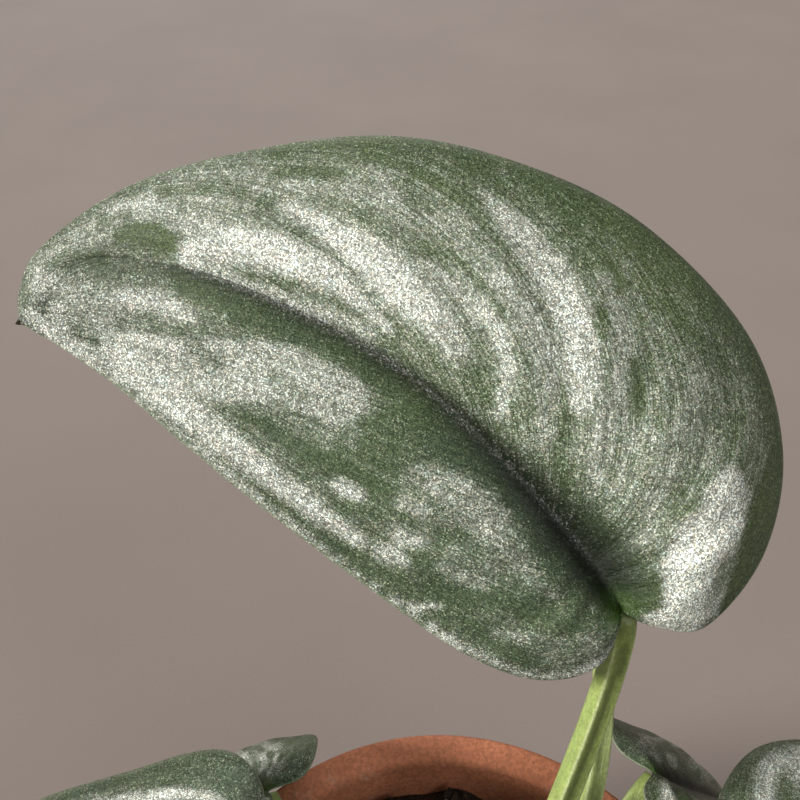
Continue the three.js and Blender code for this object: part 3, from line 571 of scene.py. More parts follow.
class Finish:
    """A material in the making. Most methods add nodes and return the socket that gives their value."""

    def __init__(self, name):
        self.material = bpy.data.materials.new(name)
        self.material.use_nodes = True
        self.tree = self.material.node_tree
        self.tree.nodes.clear()
        self.place = self.node("ShaderNodeTexCoord").outputs["Object"]

    def node(self, kind, settings=None, inputs=None):
        made = self.tree.nodes.new(kind)
        for key, value in (settings or {}).items():
            setattr(made, key, value)
        for key, value in (inputs or {}).items():
            self.plug(made.inputs[key], value)
        return made

    def plug(self, socket, value):
        if isinstance(value, bpy.types.NodeSocket):
            self.tree.links.new(value, socket)
        elif socket.type == "RGBA" and len(value) == 3:
            socket.default_value = (*value, 1)
        else:
            socket.default_value = value

    def attribute(self, name, key="Fac"):
        return self.node("ShaderNodeAttribute", {"attribute_name": name}).outputs[key]

    def stretch(self, vector, scale):
        return self.node("ShaderNodeMapping", {}, {"Vector": vector, "Scale": scale}).outputs["Vector"]

    def parts(self, vector):
        return self.node("ShaderNodeSeparateXYZ", {}, {"Vector": vector}).outputs

    def noise(self, scale, detail=3, vector=None, roughness=0.55):
        where = vector or self.place
        inputs = {"Vector": where, "Scale": scale, "Detail": detail, "Roughness": roughness}
        return self.node("ShaderNodeTexNoise", {}, inputs).outputs["Fac"]

    def cells(self, scale, key="Color", vector=None, feature="F1"):
        inputs = {"Vector": vector or self.place, "Scale": scale}
        return self.node("ShaderNodeTexVoronoi", {"feature": feature}, inputs).outputs[key]

    def calc(self, operation, a, b=0.0, c=0.0):
        return self.node("ShaderNodeMath", {"operation": operation}, {0: a, 1: b, 2: c}).outputs[0]

    def plus(self, *values):
        total = values[0]
        for value in values[1:]:
            total = self.calc("ADD", total, value)
        return total

    def about(self, value, middle, amount):
        """A value less its middle, times an amount."""
        return self.calc("MULTIPLY", self.calc("SUBTRACT", value, middle), amount)

    def between(self, value, low, high, start=0.0, end=1.0):
        """A value spread softly from low and high to start and end."""
        inputs = {"Value": value, "From Min": low, "From Max": high, "To Min": start, "To Max": end}
        return self.node("ShaderNodeMapRange", {"interpolation_type": "SMOOTHSTEP"}, inputs).outputs["Result"]

    def mix(self, share, a, b, kind="MIX"):
        made = self.node("ShaderNodeMix", {"data_type": "RGBA", "blend_type": kind})
        for key, value in ((0, share), (6, a), (7, b)):
            self.plug(made.inputs[key], value)
        return made.outputs[2]

    def tint(self, colour, bright):
        """A colour made brighter or darker by a value."""
        grey = self.node("ShaderNodeCombineColor", {}, {"Red": bright, "Green": bright, "Blue": bright})
        return self.mix(1.0, colour, grey.outputs[0], "MULTIPLY")

    def bump(self, height, depth, normal=None, strength=1.0):
        inputs = {"Height": height, "Distance": depth, "Strength": strength}
        if normal:
            inputs["Normal"] = normal
        return self.node("ShaderNodeBump", {}, inputs).outputs["Normal"]

    def done(self, colour, roughness, normal=None, **constants):
        shader = self.node("ShaderNodeBsdfPrincipled", {}, {"Base Color": colour, "Roughness": roughness})
        if normal:
            self.plug(shader.inputs["Normal"], normal)
        for key, value in constants.items():
            shader.inputs[key.replace("_", " ")].default_value = value
        self.node("ShaderNodeOutputMaterial", {}, {"Surface": shader.outputs[0]})
        return self.material


def upper_face(settings):
    """The blade's upper face: leathery green, stippled with silver grains that crowd in the patches, with
    painted shade along the midrib, painted glints, painted skylight and a painted highlight on the rim.
    """
    f, fine = Finish("silvered_blade"), PATTERNS["blade"]
    silver, shade, rib = f.attribute("silver"), f.attribute("shade"), f.attribute("rib")
    edge, dry, heart = f.attribute("edge"), f.attribute("dry"), f.attribute("heart")
    flow = f.attribute("flow", "Vector")
    streaks = f.noise(1.0, 3, f.stretch(flow, fine["streaks"]))
    fine_streaks = f.noise(1.0, 2, f.stretch(flow, fine["fine_streaks"]))
    mottle = f.noise(fine["mottle"], 4)
    grain = f.parts(f.cells(fine["grain"]))
    glints = f.parts(f.cells(fine["glints"]))
    clump = f.noise(fine["clumps"], 2)
    level = f.plus(silver, f.about(streaks, 0.5, 0.6), f.about(fine_streaks, 0.5, 0.65),
                   f.about(mottle, 0.5, 0.55))
    # The shade mark is painted shade along the midrib's valley: it thins and dims the grains there.
    shaded = f.plus(f.calc("MULTIPLY", shade, -0.5), f.calc("MULTIPLY", rib, 0.4))
    crowd = f.between(f.plus(level, shaded), -0.25, 1.05, 0.1, 1.06)
    draw = f.plus(grain[0], f.about(clump, 0.5, 0.9))
    stipple = f.between(f.calc("SUBTRACT", crowd, draw), -0.22, 0.22)
    # Painted glints: some grains are made far brighter than the silver, in the base colour.
    sparkle = f.calc("MULTIPLY", f.calc("POWER", grain[1], 2.5), f.between(level, 0.2, 1.2, 1.4, 2.1))
    sparks = f.plus(0.43, sparkle, f.about(glints[0], 0.5, 0.4))
    bright = f.calc("MULTIPLY", sparks, f.between(shade, 0, 1, 1, 0.5))
    # Painted highlight as well as silver: the more silvered a place, the brighter its grains, past plain
    # silver at the most.
    bright = f.calc("MULTIPLY", bright, f.between(level, 0, 1.7, 0.6, 1.6))
    whiteness = f.between(f.plus(level, rib), -0.1, 0.85)
    grains = f.mix(whiteness, TONES["dull grain"], settings.silver)
    # The warm, cool and rosy casts tint the grains and their painted glints.
    cast = f.mix(grain[2], TONES["warm cast"], TONES["cool cast"])
    rosy = f.mix(1.0, cast, TONES["rosy cast"], "MULTIPLY")
    cast = f.mix(f.between(f.noise(fine["cast"], 2), 0.3, 0.7), rosy, cast)
    silvered = f.mix(1.0, f.tint(grains, bright), cast, "MULTIPLY")
    fresh = tuple(value * share for value, share in zip(settings.green, TONES["fresh"]))
    green = f.mix(f.between(f.noise(fine["tone"], 3), 0.35, 0.7), settings.green, fresh)
    # Painted skylight: the narrow half is tinted bluish, as if it faced more of the sky.
    skylit_green = f.mix(1.0, green, TONES["painted skylight"], "MULTIPLY")
    green = f.mix(f.between(f.parts(flow)[1], -0.2, 0.3, 0, 1), green, skylit_green)
    green = f.mix(f.between(fine_streaks, 0.35, 0.6, 0.45, 0), green, settings.deep)
    green = f.mix(f.between(level, 0.1, 0.9), green, TONES["sage"])
    green = f.tint(green, f.plus(0.5, f.calc("MULTIPLY", f.calc("POWER", grain[2], 2), 1.5)))
    # Painted shade along the midrib: the green turns deep and the whole colour darkens.
    green = f.mix(f.calc("MULTIPLY", shade, 0.95), green, settings.deep)
    colour = f.mix(stipple, green, silvered)
    colour = f.tint(colour, f.between(shade, 0, 1, 1, 0.5))
    colour = f.mix(f.calc("MULTIPLY", heart, 0.9), colour, TONES["heart"])
    # Painted highlight: the rim is paled where the rolled margin catches the light.
    colour = f.mix(f.calc("MULTIPLY", edge, 0.5), colour, TONES["rim highlight"])
    colour = f.mix(dry, colour, TONES["dry"])
    leather = f.bump(f.cells(fine["leather"], "Distance"), DEPTHS["leather"], None, 0.5)
    mottled = f.bump(mottle, DEPTHS["mottle"], leather, 0.6)
    wrinkles = f.bump(fine_streaks, DEPTHS["fine streaks"], mottled, 0.7)
    glitter = f.bump(f.calc("MULTIPLY", grain[1], stipple), DEPTHS["grains"], wrinkles, 0.9)
    roughness = f.between(stipple, 0, 1, 0.38, 0.46)
    return f.done(colour, roughness, glitter, Specular_IOR_Level=0.25)


def lower_face(settings):
    """The blade's lower face: paler, matt, with faint side veins."""
    f, fine = Finish("blade_underside"), PATTERNS["underside"]
    flow, rib = f.attribute("flow", "Vector"), f.attribute("rib")
    streaks = f.noise(1.0, 3, f.stretch(flow, fine["streaks"]))
    mottle = f.noise(fine["mottle"], 4)
    dark = tuple(0.72 * value for value in settings.underside)
    colour = f.mix(f.between(f.plus(streaks, f.about(mottle, 0.5, 0.6)), 0.35, 0.7), dark, settings.underside)
    colour = f.mix(f.calc("MULTIPLY", rib, 0.7), colour, TONES["rib below"])
    colour = f.tint(colour, f.between(f.parts(f.cells(fine["specks"]))[0], 0, 1, 0.9, 1.12))
    leather = f.bump(f.cells(fine["leather"], "Distance"), DEPTHS["leather"], None, 0.5)
    return f.done(colour, 0.52, f.bump(streaks, DEPTHS["underside streaks"], leather, 0.6))


def stalk_finish(settings):
    """Stalks and vines: olive green, finely ribbed along their length, with painted shade in the channel."""
    f, fine = Finish("stalk_skin"), PATTERNS["stalk"]
    channel, wing = f.attribute("channel"), f.attribute("wing")
    bark, node = f.attribute("bark"), f.attribute("node")
    around = f.attribute("flow", "Vector")
    ribs = f.noise(1.0, 2, f.stretch(around, fine["ribs"]))
    mottle = f.noise(fine["mottle"], 4)
    specks = f.parts(f.cells(fine["specks"]))[0]
    light = tuple(1.55 * value for value in settings.green)
    colour = f.mix(f.between(f.plus(ribs, f.about(mottle, 0.5, 0.5)), 0.3, 0.75), settings.green, light)
    # Painted shade: the channel's recess is darkened, and the same mark darkens the stalk by the blade.
    colour = f.mix(f.calc("MULTIPLY", channel, 0.75), colour, TONES["channel"])
    colour = f.mix(f.calc("MULTIPLY", wing, 0.6), colour, TONES["wing"])
    brown = f.mix(f.between(mottle, 0.35, 0.65), TONES["old stem"], TONES["light old stem"])
    colour = f.mix(bark, colour, brown)
    colour = f.mix(f.calc("MULTIPLY", node, 0.6), colour, TONES["node"])
    colour = f.tint(colour, f.between(specks, 0, 1, 0.86, 1.14))
    normal = f.bump(ribs, DEPTHS["ribs"], f.bump(mottle, DEPTHS["stalk mottle"], None, 0.6), 0.7)
    return f.done(colour, 0.42, normal)


def new_leaf_finish(settings):
    """The rolled leaf: fresh pale green with the first silver showing along it."""
    f, fine = Finish("new_leaf_skin"), PATTERNS["new_leaf"]
    flow, seam = f.attribute("flow", "Vector"), f.attribute("seam")
    streaks = f.noise(1.0, 3, f.stretch(flow, fine["streaks"]))
    grain = f.parts(f.cells(fine["grain"]))
    mask = f.between(f.plus(streaks, f.about(grain[0], 0.5, 0.25)), 0.45, 0.62)
    fresh = f.mix(f.between(f.noise(fine["tone"], 3), 0.35, 0.65), TONES["roll"], TONES["light roll"])
    silvered = f.tint(tuple(settings.silver), f.between(grain[1], 0, 1, 0.8, 1.35))
    colour = f.mix(f.calc("MULTIPLY", mask, 0.75), fresh, silvered)
    colour = f.mix(f.calc("MULTIPLY", seam, 0.7), colour, TONES["seam"])
    return f.done(colour, 0.4, f.bump(streaks, DEPTHS["roll"], None, 0.6))


def clay_finish(settings):
    """Fired clay: sandy, with turning marks, darker towards the foot, and pale salts."""
    f, fine = Finish("fired_clay"), PATTERNS["clay"]
    height = f.parts(f.place)[2]
    rings = f.noise(1.0, 3, f.stretch(f.place, fine["rings"]))
    clouds = f.noise(fine["clouds"], 5)
    sand = f.parts(f.cells(fine["sand"]))
    light = tuple(1.35 * value for value in settings.clay)
    dark = tuple(0.62 * value for value in settings.clay)
    colour = f.mix(f.between(clouds, 0.3, 0.7), settings.clay, light)
    # Darker towards the foot.
    colour = f.mix(f.between(f.plus(f.calc("MULTIPLY", height, -8), clouds), 0.18, 0.5), colour, dark)
    colour = f.mix(f.between(rings, 0.4, 0.7, 0, 0.25), colour, dark)
    low_salt = f.between(f.calc("ABSOLUTE", f.calc("SUBTRACT", height, 0.034)), 0.0, 0.03, 0.16, 0)
    salt = f.plus(f.noise(fine["salt"], 6, None, 0.7), low_salt, f.about(rings, 0.5, 0.3))
    salt = f.calc("MULTIPLY", f.between(salt, 0.53, 0.78), settings.bloom * 1.4)
    colour = f.mix(salt, colour, TONES["salt"])
    colour = f.tint(colour, f.between(sand[0], 0, 1, 0.84, 1.14))
    pits = f.bump(f.between(f.cells(fine["pits"], "Distance"), 0, 0.35), DEPTHS["pits"], None, 0.35)
    rough = f.bump(f.noise(fine["rough"], 4), DEPTHS["rough clay"], pits, 0.5)
    return f.done(colour, 0.88, f.bump(rings, DEPTHS["rings"], rough, 0.5))


def soil_finish():
    """Peat soil: nearly black, crumbly, with brown fibres."""
    f, fine = Finish("peat_soil"), PATTERNS["soil"]
    clods, crumbs = f.noise(fine["clods"], 6, None, 0.7), f.noise(fine["fine"], 5, None, 0.7)
    colour = f.mix(f.between(clods, 0.35, 0.7), TONES["peat"], TONES["light peat"])
    threads = f.noise(1.0, 2, f.stretch(f.place, fine["threads"]))
    colour = f.mix(f.between(threads, 0.66, 0.76, 0, 0.7), colour, TONES["thread"])
    colour = f.tint(colour, f.between(f.parts(f.cells(fine["specks"]))[0], 0, 1, 0.6, 1.6))
    cloddy = f.bump(clods, DEPTHS["clods"], None, 0.9)
    return f.done(colour, 0.95, f.bump(crumbs, DEPTHS["fine soil"], cloddy, 0.9))


def perlite_finish():
    """Perlite: chalky white, porous, with brown dirt in places."""
    f, fine = Finish("perlite"), PATTERNS["perlite"]
    dirt = f.between(f.noise(fine["dirt"], 4), 0.45, 0.72)
    colour = f.mix(dirt, TONES["perlite"], TONES["dirty perlite"])
    return f.done(colour, 0.8, f.bump(f.cells(fine["pores"], "Distance"), DEPTHS["pores"], None, 0.7))


def bark_finish():
    """Bark chips: dark brown with a long grain and grey patches."""
    f, fine = Finish("bark_chip"), PATTERNS["bark"]
    grain = f.noise(1.0, 4, f.stretch(f.place, fine["grain"]))
    colour = f.mix(f.between(grain, 0.3, 0.7), TONES["bark"], TONES["light bark"])
    colour = f.mix(f.between(f.noise(fine["patches"], 2), 0.55, 0.7, 0, 0.6), colour, TONES["grey bark"])
    return f.done(colour, 0.85, f.bump(grain, DEPTHS["bark"], None, 0.8))


def floor_finish(settings):
    """The plain floor: matt, with faint clouds and specks."""
    f, fine = Finish("plain_floor"), PATTERNS["floor"]
    tone = f.between(f.noise(fine["clouds"], 5), 0.3, 0.7, 0.96, 1.03)
    specks = f.between(f.noise(fine["specks"], 3), 0.2, 0.8, 0.97, 1.03)
    return f.done(f.tint(f.tint(settings.floor, tone), specks), 0.7)


def strokes_cover(flat, strokes, samples=36):
    """How strongly a set of strokes covers points of the flat leaf."""
    outwards, inwards = STROKE_EDGE
    cover = np.zeros(len(flat))
    for strength, softness, stroke in strokes:
        line = spline(stroke, np.linspace(0, 1, samples))
        reach = line[:, 2].max() + outwards * softness
        low, high = line[:, :2].min(0) - reach, line[:, :2].max(0) + reach
        near = np.nonzero(((flat > low) & (flat < high)).all(1))[0]
        away = np.full(len(near), 1e9)
        for x, y, width in line:
            away = np.minimum(away, np.hypot(flat[near, 0] - x, flat[near, 1] - y) - width)
        cover[near] += strength * smooth(-away, -outwards * softness, inwards * softness)
    return cover


def vein_lag(across, half):
    """How far towards the tip a side vein has come since it left the midrib, at a share of its way out."""
    return -LEAF["vein_lag"][half] * np.log(1 - LEAF["vein_reach"] * across)


def random_strokes(leaf, rng, count):
    """Splashes for a smaller leaf: each follows a side vein for a part of its length."""
    facts = SMALL_SPLASH
    widths = np.array(facts["widths"])
    made = []
    for _ in range(count):
        half = "wide" if rng.random() < facts["wide_share"] else "narrow"
        start = rng.uniform(*facts["start"])
        length = rng.uniform(*facts["length"])
        vein = rng.uniform(*facts["vein"])
        across = np.clip(np.linspace(start, start + length, len(widths)), 0, facts["farthest"])
        row = np.clip(vein + vein_lag(across, half), *facts["rows"])
        line = flat_point(leaf, row, across, half)
        widest = rng.uniform(*facts["width"]) * (1 - facts["narrower_on"] * vein)
        strength = rng.uniform(*facts["strength"]) * (1 - facts["weaker_on"] * vein**2)
        made.append((strength, rng.uniform(*facts["softness"]), np.column_stack([line, widest * widths])))
    return made


def silver_field(leaf, flat, settings, number):
    """How silvered each point of a leaf is, before the finish breaks it up into grains."""
    if leaf["name"] == "leaf_large":
        ground, least, most = SILVER["large"]
        field = ground + strokes_cover(flat, SPLASHES.values()) - strokes_cover(flat, BARE.values())
        return np.clip(field, least, most)
    ground, least, most = SILVER["small"]
    samples, bare_count = SMALL_SPLASH["samples"], settings.splashes // SMALL_SPLASH["bare_share"]
    rng = np.random.default_rng(SMALL_SPLASH["seed"] + number)
    field = ground + strokes_cover(flat, random_strokes(leaf, rng, settings.splashes), samples)
    field -= strokes_cover(flat, random_strokes(leaf, rng, bare_count), samples)
    return np.clip(field, least, most)


def blade_grid(leaf):
    """Two flat grids, one under the other, joined round their rims."""
    rows, columns = LEAF["fine_grid"] if leaf["name"] == "leaf_large" else LEAF["grid"]
    bm = bmesh.new()
    bmesh.ops.create_grid(bm, x_segments=rows, y_segments=2 * columns, size=0.5)
    rim = [edge for edge in bm.edges if edge.is_boundary]
    copy = bmesh.ops.duplicate(bm, geom=bm.verts[:] + bm.edges[:] + bm.faces[:])["geom"]
    under_verts = [item for item in copy if isinstance(item, bmesh.types.BMVert)]
    under_rim = [item for item in copy if isinstance(item, bmesh.types.BMEdge) and item.is_boundary]
    bmesh.ops.translate(bm, verts=under_verts, vec=(0, 0, -1))
    bmesh.ops.bridge_loops(bm, edges=rim + under_rim)
    return mesh_of(bm, leaf["name"] + "_blade")


def faded(row, steps):
    """What is left of a mark along the leaf, when each step takes a share of it between two rows."""
    left = 1
    for share, start, end in steps:
        left = left - share * smooth(row, start, end)
    return left


def mark_blade(mesh, number, under, row, signed, vein, flat, from_rib):
    """Sets the marks that the blade's finishes read, all but the silver and the dry tip. The shade is painted
    shade along the midrib's valley, and the edge a painted highlight along the rim.
    """
    wide, across = signed < 0, np.abs(signed)
    own = np.full(len(row), MARKS["pattern_step"] * number)
    set_attribute(mesh, "flow", np.stack([vein, signed, own], 1))
    ribbed = bell(from_rib, MARKS["rib_width"]) * (1 - smooth(row, *MARKS["rib_ends"]))
    set_attribute(mesh, "rib", np.where(under, 1, smooth(row, *MARKS["rib_starts"])) * ribbed)
    # The shade is painted shade along the midrib's valley, broader near the stalk.
    middle = smooth(row, *MARKS["shade_narrows"])
    widths, ends = MARKS["shade_width"], MARKS["shade_ends"]
    breadth = np.where(wide, blend(*widths["wide"], middle), blend(*widths["narrow"], middle))
    fading = np.where(wide, faded(row, ends["wide"]), faded(row, ends["narrow"]))
    set_attribute(mesh, "shade", bell(from_rib, breadth) * fading * smooth(row, *MARKS["shade_starts"]))
    from_heart = np.linalg.norm(flat - MARKS["heart"], axis=1)
    set_attribute(mesh, "heart", bell(from_heart, MARKS["heart_width"]))
    # The edge is a painted highlight along the rim, weaker on the wide half past its lobe.
    pale = np.where(wide, blend(1, MARKS["wide_edge"], smooth(row, *MARKS["wide_edge_over"])), 1)
    set_attribute(mesh, "edge", smooth(across, MARKS["edge_from"], 1) * pale)


def blade_mesh(leaf, number, settings):
    """A blade: a fine grid laid on the leaf's form, with a lower face, a rib under it and a closed edge."""
    mesh = blade_grid(leaf)
    under = coordinates(mesh)[:, 2] < -0.5
    row, share = grid_shares(mesh)
    signed = share * 2 - 1
    signed = np.sign(signed) * np.abs(signed) ** LEAF["crowding"]
    across = np.abs(signed)
    wide = signed < 0
    flat = np.zeros((len(row), 2))
    height = np.zeros(len(row))
    vein = np.zeros(len(row))
    for half, chosen in (("wide", wide), ("narrow", ~wide)):
        flat[chosen] = flat_point(leaf, row[chosen], across[chosen], half)
        height[chosen] = blade_height(leaf, row[chosen], across[chosen], half)
        vein[chosen] = row[chosen] - vein_lag(across[chosen], half)
    from_rib = np.linalg.norm(flat - spline(LEAF["midrib"], row), axis=1)
    from_tip = np.linalg.norm(flat - np.array(LEAF["midrib"][-1]), axis=1)

    inside = smooth(row, *LEAF["relief_starts"]) * (1 - smooth(row, *LEAF["relief_ends"]))
    gully = blend(*LEAF["gully"], smooth(row, *LEAF["gully_over"]))
    groove = blend(*LEAF["groove"], smooth(row, *LEAF["groove_over"])) * inside
    groove = groove * (1 - smooth(row, *LEAF["groove_ends"])) * bell(from_rib, gully)
    lateral = np.abs(np.mod(vein * 2 * SIDE_VEINS, 1) - 0.5) * 2
    creases = LEAF["crease"] * smooth(lateral, LEAF["crease_from"], 1) * inside
    creases = creases * np.sin(np.pi * np.clip(across, 0, 1))
    creases = creases * np.where(wide, 1, smooth(row, *LEAF["narrow_crease_from"]))
    rolled = LEAF["rim_roll"] * smooth(across, LEAF["rim_from"], 1)
    height = height - np.where(under, 0, groove + creases + rolled)
    place = bend_blade(leaf, flat, height)
    rib = LEAF["rib_depth"] * leaf["size"] * inside * (1 - row) * bell(from_rib, LEAF["rib_width"])
    thinning = smooth(across, LEAF["thins_from"], 1)
    thickness = blend(LEAF["thickness"], LEAF["edge_thickness"], thinning)
    place[:, 2] -= np.where(under, thickness + rib, 0)
    nib = bell(from_tip, LEAF["nib_width"])
    along_nib, across_nib = LEAF["nib_push"]
    place[:, 0] += along_nib * nib * leaf["size"]
    place[:, 1] += across_nib * nib * leaf["size"] * leaf["hand"]
    place = place @ leaf_frame(leaf) + np.array(leaf["base"])
    mesh.vertices.foreach_set("co", (place * MM).ravel())

    set_attribute(mesh, "silver", silver_field(leaf, flat, settings, number))
    mark_blade(mesh, number, under, row, signed, vein, flat, from_rib)
    set_attribute(mesh, "dry", smooth(nib, *MARKS["dry"]))
    corner = np.empty(len(mesh.loops), int)
    mesh.loops.foreach_get("vertex_index", corner)
    faces_under = np.minimum.reduceat(under[corner].astype(int), np.arange(0, len(corner), 4))
    mesh.polygons.foreach_set("material_index", faces_under)
    close_up(mesh)
    return mesh


def vine_points(name, share):
    """Points at shares of a vine's length, on a centripetal curve through its points."""
    points = np.array(VINES[name], float)
    ends = np.vstack([2 * points[0] - points[1], points, 2 * points[-1] - points[-2]])
    dense = []
    for i in range(len(points) - 1):
        p0, p1, p2, p3 = ends[i:i + 4]
        d0, d1, d2 = (max(np.linalg.norm(b - a), 1e-6) ** 0.5 for a, b in ((p0, p1), (p1, p2), (p2, p3)))
        m1 = ((p1 - p0) / d0 - (p2 - p0) / (d0 + d1) + (p2 - p1) / d1) * d1
        m2 = ((p2 - p1) / d1 - (p3 - p1) / (d1 + d2) + (p3 - p2) / d2) * d1
        w = np.linspace(0, 1, STEPS["span"], endpoint=i == len(points) - 2)[:, None]
        cubic, square = 2 * p1 - 2 * p2 + m1 + m2, 3 * p2 - 3 * p1 - 2 * m1 - m2
        dense.append(cubic * w**3 + square * w**2 + m1 * w + p1)
    return along(np.vstack(dense), share)


def along(line, share):
    """Points at shares of a line's length."""
    steps = np.linalg.norm(np.diff(line, axis=0), axis=1)
    reached = np.concatenate([[0], np.cumsum(steps)]) / steps.sum()
    return np.stack([np.interp(share, reached, line[:, k]) for k in range(3)], 1)


def length_of(line):
    return np.linalg.norm(np.diff(line, axis=0), axis=1).sum()


def curve_through(controls, share):
    """A Bezier curve with three or four control points, at shares of its length."""
    t = np.linspace(0, 1, STEPS["curve"])[:, None]
    degree = len(controls) - 1
    line = sum(
        math.comb(degree, k) * (1 - t) ** (degree - k) * t**k * np.asarray(control, float)
        for k, control in enumerate(controls))
    return along(line, share)


def side_frames(line, first):
    """A line's direction and two directions across it, at each of its points. The first of the two starts
    near a given one and never twists."""
    tangents = unit(np.gradient(line, axis=0))
    normal = np.asarray(first, float)
    normals = []
    for tangent in tangents:
        normal = unit(normal - tangent * (normal @ tangent))
        normals.append(normal)
    normals = np.array(normals)
    return tangents, normals, np.cross(tangents, normals)


def limb(bm, line, radius, first, columns, marks, seed=0.0):
    """Adds a closed limb round a line to a bmesh.

    radius(share, angle) gives its radius in mm. Angle 0 points along first. marks(share, angle) gives the
    values of the LIMB_MARKS."""
    rows = len(line) - 1
    tangents, normals, binormals = side_frames(line, first)
    made = bmesh.ops.create_grid(bm, x_segments=rows, y_segments=columns, size=0.5)["verts"]
    layers = [bm.verts.layers.float[name] for name in LIMB_MARKS]
    flow = bm.verts.layers.float_vector["flow"]
    length = length_of(line)
    for vert in made:
        share, turn = vert.co.x + 0.5, vert.co.y + 0.5
        step = min(rows, round(share * rows))
        angle = 2 * math.pi * turn
        out = radius(share, angle) if 0 < step < rows else 0.0
        side = normals[step] * math.cos(angle) + binormals[step] * math.sin(angle)
        vert.co = (line[step] + side * out) * MM
        for layer, value in zip(layers, marks(share, angle)):
            vert[layer] = value
        far = FLOW["radius"]
        vert[flow] = (share * length / FLOW["length"], math.cos(angle) * far, math.sin(angle) * far + seed)
    return made


def limb_mesh():
    bm = bmesh.new()
    for name in LIMB_MARKS:
        bm.verts.layers.float.new(name)
    bm.verts.layers.float_vector.new("flow")
    return bm


def vine_radius(name, share):
    """The vine's own radius: it thins towards its tip and swells at each node."""
    nodes = [leaf["at"] for leaf in LEAVES if leaf["vine"] == name]
    length = length_of(vine_points(name, np.linspace(0, 1, STEPS["measure"])))
    away = min(abs(share - at) * length for at in nodes)
    swell = bell(away, VINE["node_length"])
    return blend(VINE["radius"], VINE["tip_radius"], share) + VINE["node_swell"] * swell, away


def tip_rounding(share, start, length):
    """How a limb's radius closes over its tip, from a start and over a length, both shares of its line."""
    return math.sqrt(max(0.0, 1 - max(0.0, share - start) / length))


def add_stem(bm, name):
    """A vine's stem: faintly ribbed, with a ring at each node and old bark near its foot."""
    share = np.linspace(0, 1, VINE["rows"] + 1)
    line = vine_points(name, share)
    table = [vine_radius(name, s) for s in share]
    last = VINE["rows"]

    def radius(s, angle):
        base, away = table[round(s * last)]
        ring = VINE["ring"] * bell(away - VINE["ring_off"], VINE["ring_width"])
        ribs = VINE["rib"] * math.sin(VINE["ribs"] * angle + VINE["rib_twist"] * s)
        ribs += VINE["fine_rib"] * math.sin(VINE["fine_ribs"] * angle)
        return (base + ring + ribs) * tip_rounding(s, *VINE["tip_round"])

    def marks(s, angle):
        away = table[round(s * last)][1]
        patches = VINE["bark_patches"] * math.sin(VINE["bark_turns"] * angle + VINE["bark_twist"] * s)
        old = VINE["bark"] * (1 - s) + patches * (1 - s)
        node = bell(away - VINE["ring_off"], VINE["node_mark"])
        return 0.0, 0.0, max(0.0, min(VINE["most_bark"], old)), node

    limb(bm, line, radius, VINE["first_side"], VINE["columns"], marks, len(name))


def add_stalk(bm, leaf, depth):
    """A leaf's stalk: a channelled rod that widens into a winged sheath and swells at the knee."""
    axes = leaf_frame(leaf)
    start = vine_points(leaf["vine"], np.array([leaf["at"]]))[0]
    end = np.array(leaf["base"]) - axes[2] * STALK["sink_in"]
    reach = np.linalg.norm(end - start)
    controls = (
        start, start + unit(leaf["leave"]) * reach * STALK["leave_share"],
        end + unit(leaf["arrive_from"]) * leaf["reach"], end)
    line = curve_through(controls, np.linspace(0, 1, STALK["rows"] + 1))[::-1]
    slim = blend(STALK["smallest"], 1, leaf["size"])
    length = length_of(line)

    def place_on(from_blade, angle):
        """The turn from the channel, the way from the blade in mm, and how open the channel is there."""
        near = from_blade * length
        return math.atan2(math.sin(angle), math.cos(angle)), near, float(smooth(near, *STALK["opens_over"]))

    def radius(from_blade, angle):
        share = 1 - from_blade
        narrowed = float(smooth(share, 0, STALK["sheath_share"]))
        full = blend(STALK["sheath_radius"], STALK["radius"], narrowed)
        turn, near, open_here = place_on(from_blade, angle)
        channel = depth * open_here * bell(turn, STALK["channel_width"])
        wings = blend(*STALK["wing"], float(smooth(share, *STALK["wing_over"]))) * open_here
        wing = wings * bell(abs(turn) - STALK["wing_at"], STALK["wing_width"])
        knee = STALK["knee"] * bell(near - STALK["knee_at"], STALK["knee_length"])
        return slim * full * (1 - channel + wing + knee)

    def marks(from_blade, angle):
        turn, near, open_here = place_on(from_blade, angle)
        channel = bell(turn, STALK["channel_mark"], 4) * open_here
        wing = bell(abs(turn) - STALK["wing_at"], STALK["wing_mark"]) * open_here
        dark = bell(near, STALK["dark_length"]) * STALK["dark"]
        papery = STALK["papery"] * bell(1 - from_blade, STALK["papery_share"])
        return max(channel, dark), wing, papery, 0.0

    columns = STALK["fine_columns"] if leaf["name"] == "leaf_large" else STALK["columns"]
    limb(bm, line, radius, axes[2], columns, marks, leaf["at"] * 10)


def add_root(bm, facts):
    """An air root: thin, knobbly and drooping, with a paler tip."""
    name, at, towards, length = facts
    start = vine_points(name, np.array([at]))[0]
    end = start + unit(towards) * length
    middle = (start + end) / 2 + np.array([0, 0, length * ROOT["droop"]])
    line = curve_through((start, middle, end), np.linspace(0, 1, ROOT["rows"] + 1))

    def radius(share, angle):
        knobs = 1 + ROOT["knob"] * math.sin(ROOT["knobs"] * share + ROOT["knob_twist"] * angle)
        rounding = tip_rounding(share, *ROOT["tip_round"])
        return blend(ROOT["radius"], ROOT["tip_radius"], share) * rounding * knobs

    def marks(share, angle):
        pale = ROOT["pale_tip"] * float(smooth(share, ROOT["pale_tip_from"], 1))
        return 0.0, 0.0, ROOT["bark"] * (1 - pale), 0.0

    limb(bm, line, radius, ROOT["first_side"], ROOT["columns"], marks, at)


def vine_mesh(name, depth):
    """A vine's stem with its stalks and air roots."""
    bm = limb_mesh()
    add_stem(bm, name)
    for leaf in LEAVES:
        if leaf["vine"] == name:
            add_stalk(bm, leaf, depth)
    for facts in ROOTS:
        if facts[0] == name:
            add_root(bm, facts)
    mesh = mesh_of(bm, name + "_skin")
    close_up(mesh)
    return mesh


